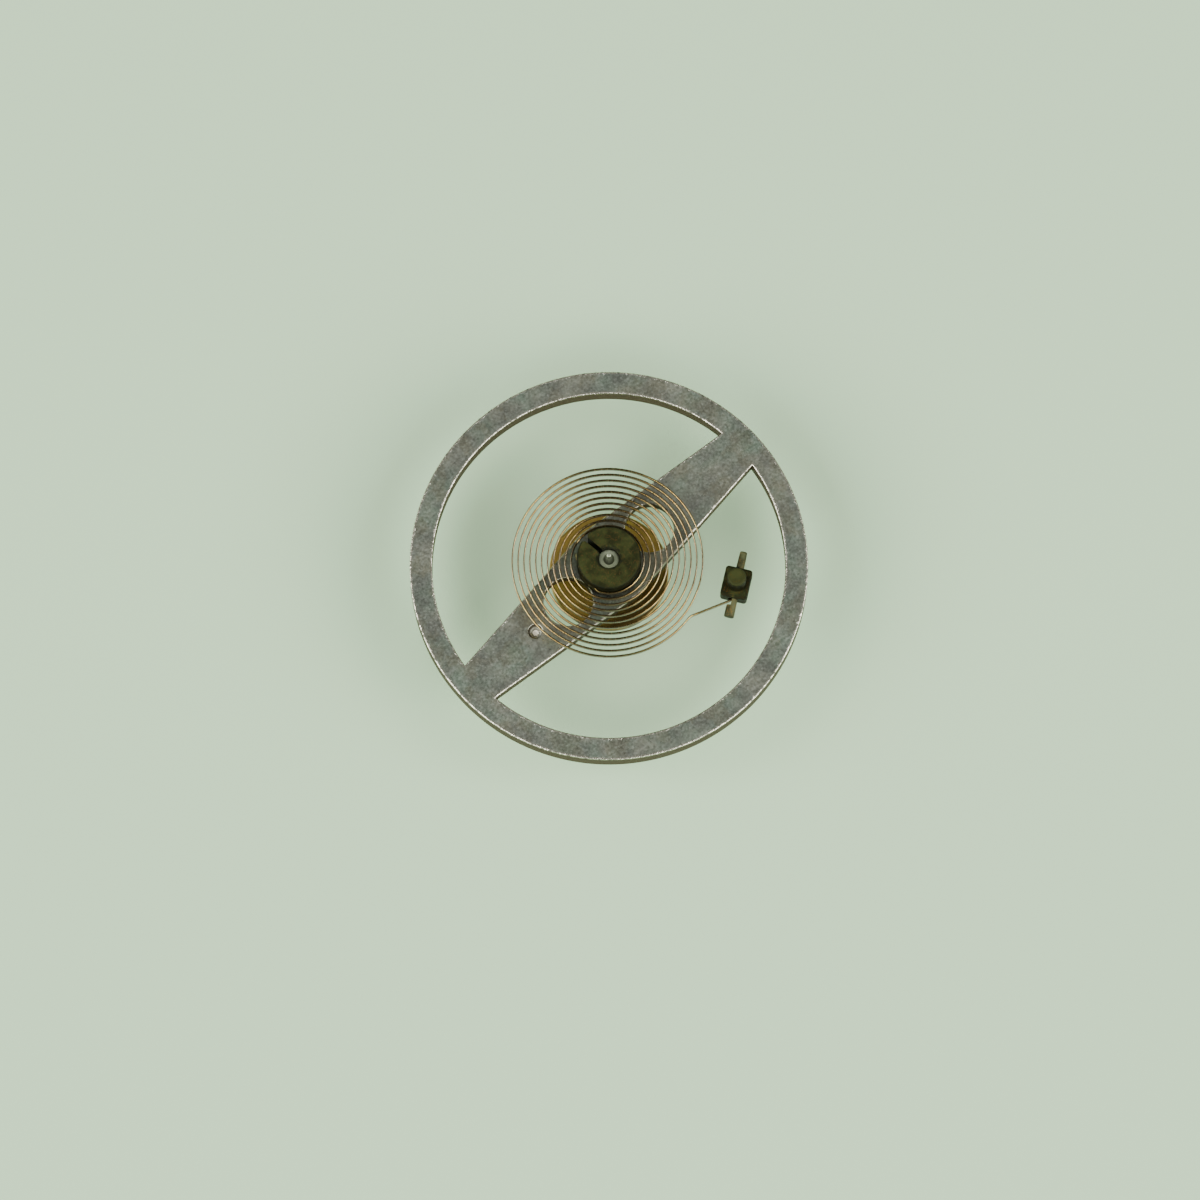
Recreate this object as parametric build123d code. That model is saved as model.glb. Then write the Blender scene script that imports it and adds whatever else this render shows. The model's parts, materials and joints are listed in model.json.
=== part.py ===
from build123d import *
import math
import os

# A wristwatch balance complete: wheel, staff, rollers, collet, hairspring and stud.
# Millimetres. The staff's axis is Z and the lower pivot's tip is the origin.
# The two arms of the wheel lie along X, and angles are counted from +X, seen from above.

# One overrun serves every cut.
overrun = 0.5

# Balance wheel
rim_radius = 5.0
rim_width = 0.57
rim_height = 0.60
rim_edge_break = 0.03
arm_thickness = 0.38
arm_hub_half_width = 1.058
arm_end_half_width = 0.565
arm_corner_radius = 0.08
arm_hole_radius = 0.62
arm_hole_distance = 1.39
poising_pit_radius = 0.18
poising_pit_depth = 0.10
poising_pit_cone_depth = 0.06
poising_pit_distance = 2.51

# Balance staff, from the lower pivot up
pivot_radius = 0.06
pivot_tip_radius = 0.03
lower_pivot_length = 0.28
lower_root_length = 0.14
lower_root_radius = 0.15
lower_lead_length = 0.10
safety_seat_radius = 0.22
table_seat_radius = 0.25
hub_radius = 0.62
hub_thickness = 0.36
hub_back_radius = 0.46
hub_back_height = 0.12
rivet_post_radius = 0.40
rivet_lip_radius = 0.48
rivet_lip_height = 0.05
collet_shoulder_radius = 0.34
collet_lift = 0.10
collet_seat_radius = 0.262
collet_seat_length = 0.50
collet_seat_edge = 0.03
upper_root_length = 0.24
upper_root_radius = 0.14
upper_pivot_length = 0.26

# Rollers and impulse jewel
safety_radius = 0.55
safety_thickness = 0.30
safety_edge_break = 0.03
crescent_radius = 0.20
crescent_centre_outside = 0.07
table_radius = 1.50
table_thickness = 0.20
table_edge_break = 0.03
table_collar_radius = 0.44
table_collar_length = 0.26
jewel_radius = 0.14
jewel_flat_offset = 0.06
jewel_edge_inset = 0.36
jewel_drop = 0.40
jewel_angle = 45.0
jewel_clearance = 0.005
shellac_radius = 0.22
shellac_top_radius = 0.12
shellac_height = 0.07

# Collet
collet_radius = 0.80
collet_height = 0.72
collet_edge_break = 0.05
collet_bore_edge = 0.05
collet_slot_width = 0.11
collet_slot_angle = 97.4
collet_slot_flare = 0.07
collet_pin_angle = 161.4
collet_hole_inset = 0.20
spring_height_in_collet = 0.30

# Hairspring
spring_thickness = 0.04
spring_height = 0.15
spring_collet_gap = 0.002
spring_pitch = 0.1474
spring_start_angle = 204.1
spring_half_turns = 22
inner_bend_radius = 0.18
inner_tail = 0.40
elbow_radius = 0.30
elbow_heading = -20.9
stud_bend_radius = 0.06
stud_bend_gap = 0.01
outer_tail = 0.02

# Pins beside the spring
pin_flat_clearance = 0.01
collet_pin_small_radius = 0.080
collet_pin_large_radius = 0.092
collet_pin_hole_radius = 0.100
collet_pin_cut_back = 0.08
collet_pin_proud = 0.03
collet_spring_offset = 0.04
stud_pin_small_radius = 0.093
stud_pin_large_radius = 0.130
stud_pin_length = 1.71
stud_pin_hole_radius = 0.130
stud_spring_offset = 0.05
stud_flat_entry_run = 0.12
stud_flat_exit_run = 0.03

# Stud
stud_distance = 3.24
stud_angle = -53.6
stud_twist = -2.3
stud_radial_width = 0.68
stud_tangent_width = 0.78
stud_block_height = 0.50
stud_corner_radius = 0.08
stud_edge_break = 0.04
stud_post_radius = 0.235
stud_post_length = 0.63
stud_post_edge = 0.05

# Heights that follow, from the lower pivot's tip up
safety_bottom = lower_pivot_length + lower_root_length + lower_lead_length
safety_top = safety_bottom + safety_thickness
table_bottom = safety_top + table_collar_length
table_top = table_bottom + table_thickness
arm_bottom = table_top + hub_thickness
arm_top = arm_bottom + arm_thickness
rim_bottom = arm_top - rim_height
collet_bottom = arm_top + collet_lift
collet_top = collet_bottom + collet_height
seat_top = collet_bottom + collet_seat_length
upper_pivot_bottom = seat_top + upper_root_length
staff_top = upper_pivot_bottom + upper_pivot_length
spring_level = collet_bottom + spring_height_in_collet
stud_bottom = spring_level - stud_block_height / 2
stud_block_top = spring_level + stud_block_height / 2
stud_post_top = stud_block_top + stud_post_length

# Radii and directions that follow
crescent_centre_distance = safety_radius + crescent_centre_outside
jewel_distance = table_radius - jewel_edge_inset
inner_chord_distance = collet_radius - collet_hole_inset
spring_first_radius = collet_radius + spring_thickness / 2 + spring_collet_gap
rim_inner_radius = rim_radius - rim_width
arm_end_distance = math.sqrt(rim_inner_radius**2 - arm_end_half_width**2)
pin_hole_chord_distance = inner_chord_distance + collet_spring_offset
stud_heading = stud_angle + stud_twist + 90.0
stud_turn = stud_heading - elbow_heading
stud_tangent = stud_bend_radius * math.tan(math.radians(stud_turn / 2))
stud_entry = stud_tangent_width / 2 + stud_bend_gap


def polar(distance, angle, height=0):
    """A point at a distance and angle from the staff's axis."""
    turn = math.radians(angle)
    return Vector(distance * math.cos(turn), distance * math.sin(turn), height)


def turned(lines):
    """A solid turned about the staff's axis from an outline of radius and height."""
    return revolve(Plane.XZ * make_face(lines), Axis.Z)


def upright_cylinder(radius, bottom, top, centre=Vector()):
    """A cylinder that stands on a height, with its axis through a centre."""
    place = Pos(centre.X, centre.Y, bottom)
    return place * Cylinder(radius, top - bottom, align=(Align.CENTER, Align.CENTER, Align.MIN))


def along(heading, centre):
    """A place whose Z runs level along a heading, whose X points to its left and whose Y points down."""
    direction = polar(1, heading)
    left = polar(1, heading + 90)
    return Plane(origin=centre, x_dir=left, z_dir=direction).location


# Balance wheel


def make_rim():
    """The plain rim, with its edges broken."""
    edge = rim_edge_break
    return turned(
        Polyline(
            (rim_inner_radius, rim_bottom + edge),
            (rim_inner_radius + edge, rim_bottom),
            (rim_radius - edge, rim_bottom),
            (rim_radius, rim_bottom + edge),
            (rim_radius, arm_top - edge),
            (rim_radius - edge, arm_top),
            (rim_inner_radius + edge, arm_top),
            (rim_inner_radius, arm_top - edge),
            close=True,
        )
    )


def make_arms():
    """One bar, widest at the hub, that narrows in straight lines to the rim on both sides."""
    end_x = arm_end_distance + rim_width / 2
    slope = (arm_hub_half_width - arm_end_half_width) / arm_end_distance
    end_y = arm_hub_half_width - slope * end_x
    outline = Polyline(
        (end_x, end_y),
        (0, arm_hub_half_width),
        (-end_x, end_y),
        (-end_x, -end_y),
        (0, -arm_hub_half_width),
        (end_x, -end_y),
        close=True,
    )
    bar = extrude(Pos(0, 0, arm_bottom) * make_face(outline), arm_thickness)
    hub_edges = bar.edges().filter_by(Axis.Z).sort_by(lambda edge: abs(edge.center().X))[:2]
    return fillet(hub_edges, arm_corner_radius)


def make_poising_pit():
    """The drilled pit that poised the wheel, as a cutter with a drill's point."""
    floor = arm_top - poising_pit_depth
    place = Pos(-poising_pit_distance, 0, 0)
    return place * turned(
        Polyline(
            (0, floor - poising_pit_cone_depth),
            (poising_pit_radius, floor),
            (poising_pit_radius, arm_top + overrun),
            (0, arm_top + overrun),
            close=True,
        )
    )


def make_balance_wheel():
    """Rim and arms in one, bored for the staff, with a round hole on each side of the hub."""
    wheel = make_rim() + make_arms()
    low = arm_bottom - overrun
    high = arm_top + overrun
    wheel -= upright_cylinder(rivet_post_radius, low, high)
    for side in (-1, 1):
        wheel -= upright_cylinder(arm_hole_radius, low, high, Vector(side * arm_hole_distance, 0))
    return wheel - make_poising_pit()


# Balance staff


def make_balance_staff():
    """The arbor in one turned outline: pivots with hollow roots, seats, hub, rivet and collet seat."""
    lower_tip = pivot_radius - pivot_tip_radius
    root_top = lower_pivot_length + lower_root_length
    hub_waist = table_top + hub_back_height
    lip_top = arm_top + rivet_lip_height
    edge = collet_seat_edge
    below = Polyline(
        (0, 0),
        (lower_tip, 0),
        (pivot_radius, pivot_tip_radius),
        (pivot_radius, lower_pivot_length),
    )
    lower_root = TangentArc(
        (pivot_radius, lower_pivot_length), (lower_root_radius, root_top), tangent=(0, 1)
    )
    middle = Polyline(
        (lower_root_radius, root_top),
        (safety_seat_radius, safety_bottom),
        (safety_seat_radius, safety_top),
        (table_seat_radius, safety_top),
        (table_seat_radius, table_top),
        (hub_back_radius, table_top),
        (hub_radius, hub_waist),
        (hub_radius, arm_bottom),
        (rivet_post_radius, arm_bottom),
        (rivet_post_radius, arm_top),
        (rivet_lip_radius, arm_top),
        (rivet_post_radius, lip_top),
        (collet_shoulder_radius, lip_top),
        (collet_shoulder_radius, collet_bottom),
        (collet_seat_radius, collet_bottom),
        (collet_seat_radius, seat_top - edge),
        (collet_seat_radius - edge, seat_top),
        (upper_root_radius, seat_top),
    )
    upper_root = TangentArc(
        (pivot_radius, upper_pivot_bottom),
        (upper_root_radius, seat_top),
        tangent=(0, -1),
    )
    above = Polyline(
        (pivot_radius, upper_pivot_bottom),
        (pivot_radius, staff_top - pivot_tip_radius),
        (pivot_radius - pivot_tip_radius, staff_top),
        (0, staff_top),
        (0, 0),
    )
    return turned([*below.edges(), lower_root, *middle.edges(), upper_root, *above.edges()])


# Rollers


def jewel_outline(growth=0):
    """The D-shaped section of the impulse jewel, with its flat facing out."""
    radius = jewel_radius + growth
    flat = jewel_flat_offset + growth
    keep = Pos(flat - radius, 0) * Rectangle(radius * 2, radius * 2)
    section = Circle(radius) & keep
    centre = polar(jewel_distance, jewel_angle)
    return Pos(centre.X, centre.Y) * Rot(0, 0, jewel_angle) * section


def make_roller_table():
    """The table with its collar below, bored for its seat and pierced for the jewel."""
    edge = table_edge_break
    table = turned(
        Polyline(
            (table_seat_radius, safety_top),
            (table_collar_radius, safety_top),
            (table_collar_radius, table_bottom),
            (table_radius - edge, table_bottom),
            (table_radius, table_bottom + edge),
            (table_radius, table_top - edge),
            (table_radius - edge, table_top),
            (table_seat_radius, table_top),
            close=True,
        )
    )
    hole = Pos(0, 0, table_bottom - overrun) * jewel_outline(jewel_clearance)
    return table - extrude(hole, table_thickness + 2 * overrun)


def make_safety_roller():
    """The small roller, with the crescent that lets the lever's dart pass, in line with the jewel."""
    edge = safety_edge_break
    roller = turned(
        Polyline(
            (safety_seat_radius, safety_bottom),
            (safety_radius - edge, safety_bottom),
            (safety_radius, safety_bottom + edge),
            (safety_radius, safety_top - edge),
            (safety_radius - edge, safety_top),
            (safety_seat_radius, safety_top),
            close=True,
        )
    )
    centre = polar(crescent_centre_distance, jewel_angle)
    return roller - upright_cylinder(
        crescent_radius, safety_bottom - overrun, safety_top + overrun, centre
    )


def make_impulse_jewel():
    """The jewel, flush with the table's top and hanging below it."""
    bottom = table_bottom - jewel_drop
    return extrude(Pos(0, 0, bottom) * jewel_outline(), table_top - bottom)


def make_jewel_shellac():
    """A low bead of shellac over the jewel's foot, on the table's top."""
    centre = polar(jewel_distance, jewel_angle, table_top)
    bead = Cone(
        shellac_radius,
        shellac_top_radius,
        shellac_height,
        align=(Align.CENTER, Align.CENTER, Align.MIN),
    )
    return Location(centre) * bead


# Collet


def make_collet():
    """The split ring, with a level hole along a chord for the spring's inner end."""
    edge = collet_edge_break
    bore_edge = collet_bore_edge
    ring = turned(
        Polyline(
            (collet_seat_radius, collet_bottom),
            (collet_radius - edge, collet_bottom),
            (collet_radius, collet_bottom + edge),
            (collet_radius, collet_top - edge),
            (collet_radius - edge, collet_top),
            (collet_seat_radius + bore_edge, collet_top),
            (collet_seat_radius, collet_top - bore_edge),
            close=True,
        )
    )
    half = collet_slot_width / 2
    reach = collet_radius + overrun
    flare = half + collet_slot_flare * (1 + overrun / collet_radius)
    slot = make_face(
        Polyline(
            (0, -half),
            (collet_radius - collet_slot_flare, -half),
            (reach, -flare),
            (reach, flare),
            (collet_radius - collet_slot_flare, half),
            (0, half),
            close=True,
        )
    )
    cutter = extrude(
        Pos(0, 0, collet_bottom - overrun) * Rot(0, 0, collet_slot_angle) * slot,
        collet_height + 2 * overrun,
    )
    centre = polar(pin_hole_chord_distance, collet_pin_angle, spring_level)
    place = along(collet_pin_angle + 90, centre)
    hole = place * Cylinder(collet_pin_hole_radius, 2 * (collet_radius + overrun))
    return ring - cutter - hole


def flatted_pin(small_radius, large_radius, length, spring_offset, flat_from, flat_to):
    """A taper pin along Z, thin end up and middle at zero, flatted from one height to another.

    The flat is on its left, beside the spring, and the pin stays full round beyond it.
    """
    flat_offset = spring_offset - spring_thickness / 2 - pin_flat_clearance
    width = 2 * large_radius + overrun
    middle = (flat_from + flat_to) / 2
    waste = Pos(flat_offset + width / 2, 0, middle) * Box(width, width, flat_to - flat_from)
    return Cone(large_radius, small_radius, length) - waste


def make_collet_pin():
    """The pin outside the spring in the collet's hole, flatted throughout and cut short at the bend."""
    half_chord = math.sqrt(collet_radius**2 - pin_hole_chord_distance**2)
    front = half_chord - collet_pin_cut_back
    back = half_chord + collet_pin_proud
    centre = polar(pin_hole_chord_distance, collet_pin_angle, spring_level)
    heading = collet_pin_angle + 90
    middle = centre + polar((front - back) / 2, heading)
    length = front + back
    past_end = (length + overrun) / 2
    pin = flatted_pin(
        collet_pin_small_radius,
        collet_pin_large_radius,
        length,
        collet_spring_offset,
        -past_end,
        past_end,
    )
    return along(heading, middle) * pin


# Hairspring


def inner_bend_start():
    """Where the inner bend leaves the chord in the collet, and how far round the first arc it ends."""
    first_radius = spring_first_radius + spring_pitch / 4
    first_centre = polar(-spring_pitch / 4, spring_start_angle)
    foot = polar(inner_chord_distance - inner_bend_radius, collet_pin_angle)
    heading = polar(1, collet_pin_angle + 90)
    gap = foot - first_centre
    reach = first_radius - inner_bend_radius
    step = -gap.dot(heading) + math.sqrt(
        gap.dot(heading) ** 2 - gap.length**2 + reach**2
    )
    bend_centre = foot + heading * step
    out = bend_centre - first_centre
    end_angle = math.degrees(math.atan2(out.Y, out.X)) % 360
    return bend_centre, end_angle


def spring_edges():
    """The line of the spring: tail in the collet, bend, half-turn arcs, elbow, straight and stud bend."""
    up = Vector(0, 0, spring_level)
    edges = []

    # Tail along the chord and the bend out of the collet
    bend_centre, first_angle = inner_bend_start()
    chord_heading = collet_pin_angle + 90
    bend_from = bend_centre + polar(inner_bend_radius, collet_pin_angle)
    tail_from = bend_from - polar(1, chord_heading) * (
        (bend_from - polar(inner_chord_distance, collet_pin_angle)).length + inner_tail
    )
    edges.append(Line(tail_from + up, bend_from + up))
    edges.append(
        JernArc(
            bend_from + up,
            polar(1, chord_heading),
            inner_bend_radius,
            first_angle - collet_pin_angle,
        )
    )

    # The coils: each half turn is one arc, half a pitch larger than the last
    radius = spring_first_radius + spring_pitch / 4
    side = -1
    start = first_angle
    for half_turn in range(spring_half_turns):
        stop = spring_start_angle + 180 * (half_turn + 1)
        centre = polar(side * spring_pitch / 4, spring_start_angle)
        edges.append(CenterArc(centre + up, radius, start, stop - start))
        radius += spring_pitch / 2
        side = -side
        start = stop
    centre = polar(side * spring_pitch / 4, spring_start_angle)

    # The corner of the straight stretch and the line through the stud
    stud_centre = polar(stud_distance, stud_angle)
    left = polar(1, stud_heading + 90)
    forward = polar(1, stud_heading)
    outward = polar(1, elbow_heading)
    line_point = stud_centre + left * stud_spring_offset
    corner = line_point - forward * (stud_entry + stud_tangent)

    # The elbow touches the last coil from outside and the straight stretch from its right
    right = polar(1, elbow_heading - 90)
    offset_point = corner + right * elbow_radius
    gap = offset_point - centre
    reach = radius + elbow_radius
    step = gap.dot(outward) - math.sqrt(
        gap.dot(outward) ** 2 - gap.length**2 + reach**2
    )
    elbow_centre = offset_point - outward * step
    out = elbow_centre - centre
    end_angle = math.degrees(math.atan2(out.Y, out.X))
    last_turn = (end_angle - start) % 360
    edges.append(CenterArc(centre + up, radius, start, last_turn))
    elbow_from = centre + polar(radius, end_angle)
    elbow_turn = elbow_heading - (end_angle + 90)
    edges.append(
        JernArc(elbow_from + up, polar(1, end_angle + 90), elbow_radius, elbow_turn)
    )
    straight_from = elbow_centre - right * elbow_radius
    straight_to = corner - outward * stud_tangent
    edges.append(Line(straight_from + up, straight_to + up))
    edges.append(JernArc(straight_to + up, outward, stud_bend_radius, stud_turn))
    tail_to = line_point + forward * (stud_tangent_width / 2 + outer_tail)
    edges.append(Line(corner + forward * stud_tangent + up, tail_to + up))
    return edges


def make_hairspring():
    """The flat strip, swept along its line as one unbroken piece."""
    edges = spring_edges()
    line = Wire(edges)
    start = line.position_at(0)
    section_plane = Plane(origin=start, x_dir=(0, 0, 1), z_dir=line.tangent_at(0))
    section = section_plane * Rectangle(spring_height, spring_thickness)
    spring = sweep(section, path=line)
    measure_spring(edges, spring)
    return spring


def measure_spring(edges, spring):
    """Prints the spring's length, its volume against its section, and its least gap to itself."""
    length = sum(edge.length for edge in edges)
    section = spring_height * spring_thickness
    print(f"spring length {length:.3f}, volume share {spring.volume / (section * length):.5f}")
    step = spring_pitch / 4
    points = []
    travelled = 0
    for edge in edges:
        count = max(2, math.ceil(edge.length / step))
        for index in range(count):
            share = index / count
            point = edge.position_at(share)
            points.append((travelled + share * edge.length, complex(point.X, point.Y)))
        travelled += edge.length
    apart = 2 * spring_first_radius
    gap = min(
        abs(further - point)
        for index, (place, point) in enumerate(points)
        for further_place, further in points[index + 1 :]
        if further_place - place > apart
    )
    print(f"spring least gap to itself {gap - spring_thickness:.4f} at {len(points)} points")


# Stud


def stud_place(height):
    """The stud's own place: X along its radial width, Y along its hole."""
    centre = polar(stud_distance, stud_angle, height)
    return Location(centre) * Rot(0, 0, stud_angle + stud_twist)


def make_stud():
    """The block with its round post, and the hole for spring and pin."""
    outline = RectangleRounded(stud_radial_width, stud_tangent_width, stud_corner_radius)
    block = extrude(outline, stud_block_height)
    block = chamfer(block.faces().sort_by(Axis.Z)[-1].edges(), stud_edge_break)
    block = chamfer(block.faces().sort_by(Axis.Z)[0].edges(), stud_edge_break)
    post = upright_cylinder(stud_post_radius, stud_block_height / 2, stud_block_height + stud_post_length)
    post = chamfer(post.faces().sort_by(Axis.Z)[-1].edges(), stud_post_edge)
    stud = stud_place(stud_bottom) * (block + post)
    centre = polar(stud_distance, stud_angle, spring_level)
    hole = Cylinder(stud_pin_hole_radius, stud_tangent_width + overrun)
    return stud - along(stud_heading, centre) * hole


def make_stud_pin():
    """The taper pin, flatted beside the spring on the side of the wheel's axis and full round beyond."""
    centre = polar(stud_distance, stud_angle, spring_level)
    pin = flatted_pin(
        stud_pin_small_radius,
        stud_pin_large_radius,
        stud_pin_length,
        stud_spring_offset,
        -(stud_entry + stud_tangent + stud_flat_entry_run),
        stud_tangent_width / 2 + outer_tail + stud_flat_exit_run,
    )
    return along(stud_heading, centre) * pin


makers = {
    "balance_wheel": make_balance_wheel,
    "balance_staff": make_balance_staff,
    "roller_table": make_roller_table,
    "safety_roller": make_safety_roller,
    "impulse_jewel": make_impulse_jewel,
    "jewel_shellac": make_jewel_shellac,
    "collet": make_collet,
    "collet_pin": make_collet_pin,
    "hairspring": make_hairspring,
    "stud": make_stud,
    "stud_pin": make_stud_pin,
}

os.makedirs("parts", exist_ok=True)
for node, make in makers.items():
    piece = make()
    export_step(piece, f"parts/{node}.step")
    print(f"{node}: volume {piece.volume:.5f}")
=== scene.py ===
# %% [markdown]
# This is a wristwatch balance with its hairspring and stud, seen as a watchmaker sees it on the bench.
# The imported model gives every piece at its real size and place. It is made of few flat facets, which is
# right for contact and weight but coarse for a close look, so each piece is built again here with round
# curves, broken edges and a finish of its own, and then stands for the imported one.

import json
import math

import bmesh
import bpy
import numpy as np
from mathutils import Matrix, Vector, geometry


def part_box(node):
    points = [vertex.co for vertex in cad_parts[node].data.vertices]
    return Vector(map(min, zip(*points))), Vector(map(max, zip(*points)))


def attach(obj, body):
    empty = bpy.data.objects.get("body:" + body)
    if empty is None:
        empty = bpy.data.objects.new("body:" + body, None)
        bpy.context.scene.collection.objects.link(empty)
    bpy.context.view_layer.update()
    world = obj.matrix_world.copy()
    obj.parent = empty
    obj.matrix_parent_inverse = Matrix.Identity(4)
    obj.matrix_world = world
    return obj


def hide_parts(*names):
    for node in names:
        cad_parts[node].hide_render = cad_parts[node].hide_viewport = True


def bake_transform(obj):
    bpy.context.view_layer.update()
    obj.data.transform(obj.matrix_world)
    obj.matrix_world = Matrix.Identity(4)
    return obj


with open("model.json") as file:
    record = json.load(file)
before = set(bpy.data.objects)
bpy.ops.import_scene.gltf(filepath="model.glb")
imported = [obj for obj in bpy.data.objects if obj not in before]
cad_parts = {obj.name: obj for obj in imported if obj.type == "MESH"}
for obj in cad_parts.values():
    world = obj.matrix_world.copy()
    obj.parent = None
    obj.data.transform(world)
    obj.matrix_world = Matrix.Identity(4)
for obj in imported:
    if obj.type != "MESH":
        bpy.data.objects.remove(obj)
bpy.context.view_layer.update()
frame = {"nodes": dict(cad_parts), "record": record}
print("nodes:", ", ".join(sorted(frame["nodes"])))

# %% [markdown]
# Blender works in metres, and this object is ten millimetres across. Every size below is written in
# millimetres and the finished mesh is shrunk once, which keeps the numbers readable and the welding
# distances sensible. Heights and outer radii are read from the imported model, so the looks follow it if a
# size changes there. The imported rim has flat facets, so the round one takes the least of its four sides
# and stays inside the same box.

# %% Units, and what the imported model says
MM = 0.001


def heights(node):
    """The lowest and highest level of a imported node, in millimetres."""
    low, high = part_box(node)
    return low.z / MM, high.z / MM


def reach(node):
    """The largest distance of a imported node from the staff's axis, in millimetres."""
    return max(math.hypot(v.co.x, v.co.y) for v in frame["nodes"][node].data.vertices) / MM


rim_bottom, arm_top = heights("balance_wheel")
wheel_low, wheel_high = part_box("balance_wheel")
rim_radius = min(-wheel_low.x, -wheel_low.y, wheel_high.x, wheel_high.y) / MM
staff_bottom, staff_top = heights("balance_staff")
hub_radius = reach("balance_staff")
safety_bottom, safety_top = heights("safety_roller")
safety_radius = reach("safety_roller")
table_top = heights("roller_table")[1]
table_radius = reach("roller_table")
jewel_bottom = heights("impulse_jewel")[0]
collet_bottom, collet_top = heights("collet")
collet_radius = reach("collet")
spring_bottom, spring_top = heights("hairspring")
spring_level = (spring_bottom + spring_top) / 2
stud_bottom, stud_post_top = heights("stud")
print(f"rim {2 * rim_radius:.2f} mm across, {staff_top:.2f} mm from pivot tip to pivot tip")

# %% [markdown]
# A small class gathers points, faces and one number per point, the wear, which is 1 on an edge that
# handling has polished and 0 on the open face beside it. Modifiers could bevel finished blocks instead, but
# here every loop is laid by hand, so the broken edges have their true width and the wear mask follows them
# exactly.

# %% A shape is gathered ring by ring
WELD = 1e-5
WHOLE_HULL = 0


class Shape:
    """Points in millimetres with a wear each, and faces, until they become a mesh."""

    def __init__(self):
        self.points = []
        self.wear = []
        self.faces = []

    def ring(self, points, wear=0.0):
        """Adds a row of points and gives their numbers."""
        first = len(self.points)
        self.points.extend(points)
        self.wear.extend([wear] * len(points))
        return list(range(first, len(self.points)))

    def bridge(self, low, high, closed=True):
        """Joins two rows of equally many points with four-sided faces."""
        count = len(low) if closed else len(low) - 1
        for i in range(count):
            j = (i + 1) % len(low)
            self.faces.append([low[i], low[j], high[j], high[i]])

    def skin(self, rings, closed=True):
        """Joins each row to the next."""
        for low, high in zip(rings, rings[1:]):
            self.bridge(low, high, closed)

    def fan(self, ring, tip):
        """Joins a closed row to one point."""
        for i in range(len(ring)):
            self.faces.append([ring[i], ring[(i + 1) % len(ring)], tip])

    def fill(self, *rings):
        """Fills the flat region between an outer ring and the rings inside it."""
        numbers = [n for ring in rings for n in ring]
        edges = []
        for ring in rings:
            first = len(edges)
            edges += [(first + i, first + (i + 1) % len(ring)) for i in range(len(ring))]
        flat = np.array([self.points[n][:2] for n in numbers])
        laid = geometry.delaunay_2d_cdt([Vector(p) for p in flat], edges, [], WHOLE_HULL, WELD)
        places, triangles, sources = laid[0], laid[2], laid[3]
        a, b = flat[[e[0] for e in edges]], flat[[e[1] for e in edges]]
        for triangle in triangles:
            x, y = sum((places[i] for i in triangle), Vector((0, 0))) / 3
            spans = (a[:, 1] > y) != (b[:, 1] > y)
            rise = (y - a[spans, 1]) / (b[spans, 1] - a[spans, 1])
            crossed = a[spans, 0] + rise * (b[spans, 0] - a[spans, 0]) > x
            if crossed.sum() % 2:
                self.faces.append([numbers[sources[i][0]] for i in triangle])

    def mesh(self, name):
        """The welded mesh, still in millimetres, with the wear kept on its points."""
        made = bpy.data.meshes.new(name)
        made.from_pydata([Vector(p) for p in self.points], [], self.faces)
        made.attributes.new("wear", "FLOAT", "POINT").data.foreach_set("value", self.wear)
        work = bmesh.new()
        work.from_mesh(made)
        bmesh.ops.remove_doubles(work, verts=work.verts, dist=WELD)
        bmesh.ops.recalc_face_normals(work, faces=work.faces)
        work.to_mesh(made)
        work.free()
        return made


def tube(rows):
    """A shape from rows of points with a wear each, joined one to the next and closed at both ends."""
    shape = Shape()
    rings = [shape.ring(points, wear) for points, wear in rows]
    shape.skin(rings)
    shape.faces.extend([rings[0], rings[-1]])
    return shape


# %% Cut a mesh, and put a finished one in its place
SMOOTH_BELOW = 38.0


def carved(mesh, cutter):
    """One millimetre mesh with another cut from it."""
    block = bpy.data.objects.new("block", mesh)
    tool = bpy.data.objects.new("tool", cutter)
    for one in (block, tool):
        bpy.context.scene.collection.objects.link(one)
    step = block.modifiers.new("carve", "BOOLEAN")
    step.object = tool
    step.operation = "DIFFERENCE"
    step.solver = "EXACT"
    graph = bpy.context.evaluated_depsgraph_get()
    result = bpy.data.meshes.new_from_object(block.evaluated_get(graph))
    for one in (block, tool):
        bpy.data.objects.remove(one)
    return result


def place(name, made, body, node):
    """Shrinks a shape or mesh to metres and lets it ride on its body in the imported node's stead."""
    mesh = made.mesh(name) if isinstance(made, Shape) else made
    mesh.transform(Matrix.Scale(MM, 4))
    mesh.shade_smooth()
    mesh.set_sharp_from_angle(angle=math.radians(SMOOTH_BELOW))
    piece = bpy.data.objects.new(name, mesh)
    bpy.context.scene.collection.objects.link(piece)
    if body:
        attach(piece, body)
    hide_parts(node)
    print(f"{name}: {len(mesh.vertices)} points, {len(mesh.polygons)} faces")
    return piece


# %% [markdown]
# The staff is turned on a lathe, so a profile of radius and height makes it, and the collet's section is
# such a profile too. Sharp corners don't exist on real metal: each corner may name a break, and the profile
# then gets a small round there with wear 1, and one more point on each side with wear 0, which keeps the
# wear close to the edge.

# %% Turned profiles with broken edges
WEAR_SPREAD = 0.05
ROUND_STEPS = 4
# The most of a side that a corner's break, and the wear beside it, may take
MOST_FOR_BREAK = 0.45
MOST_FOR_WEAR = 0.49


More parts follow.
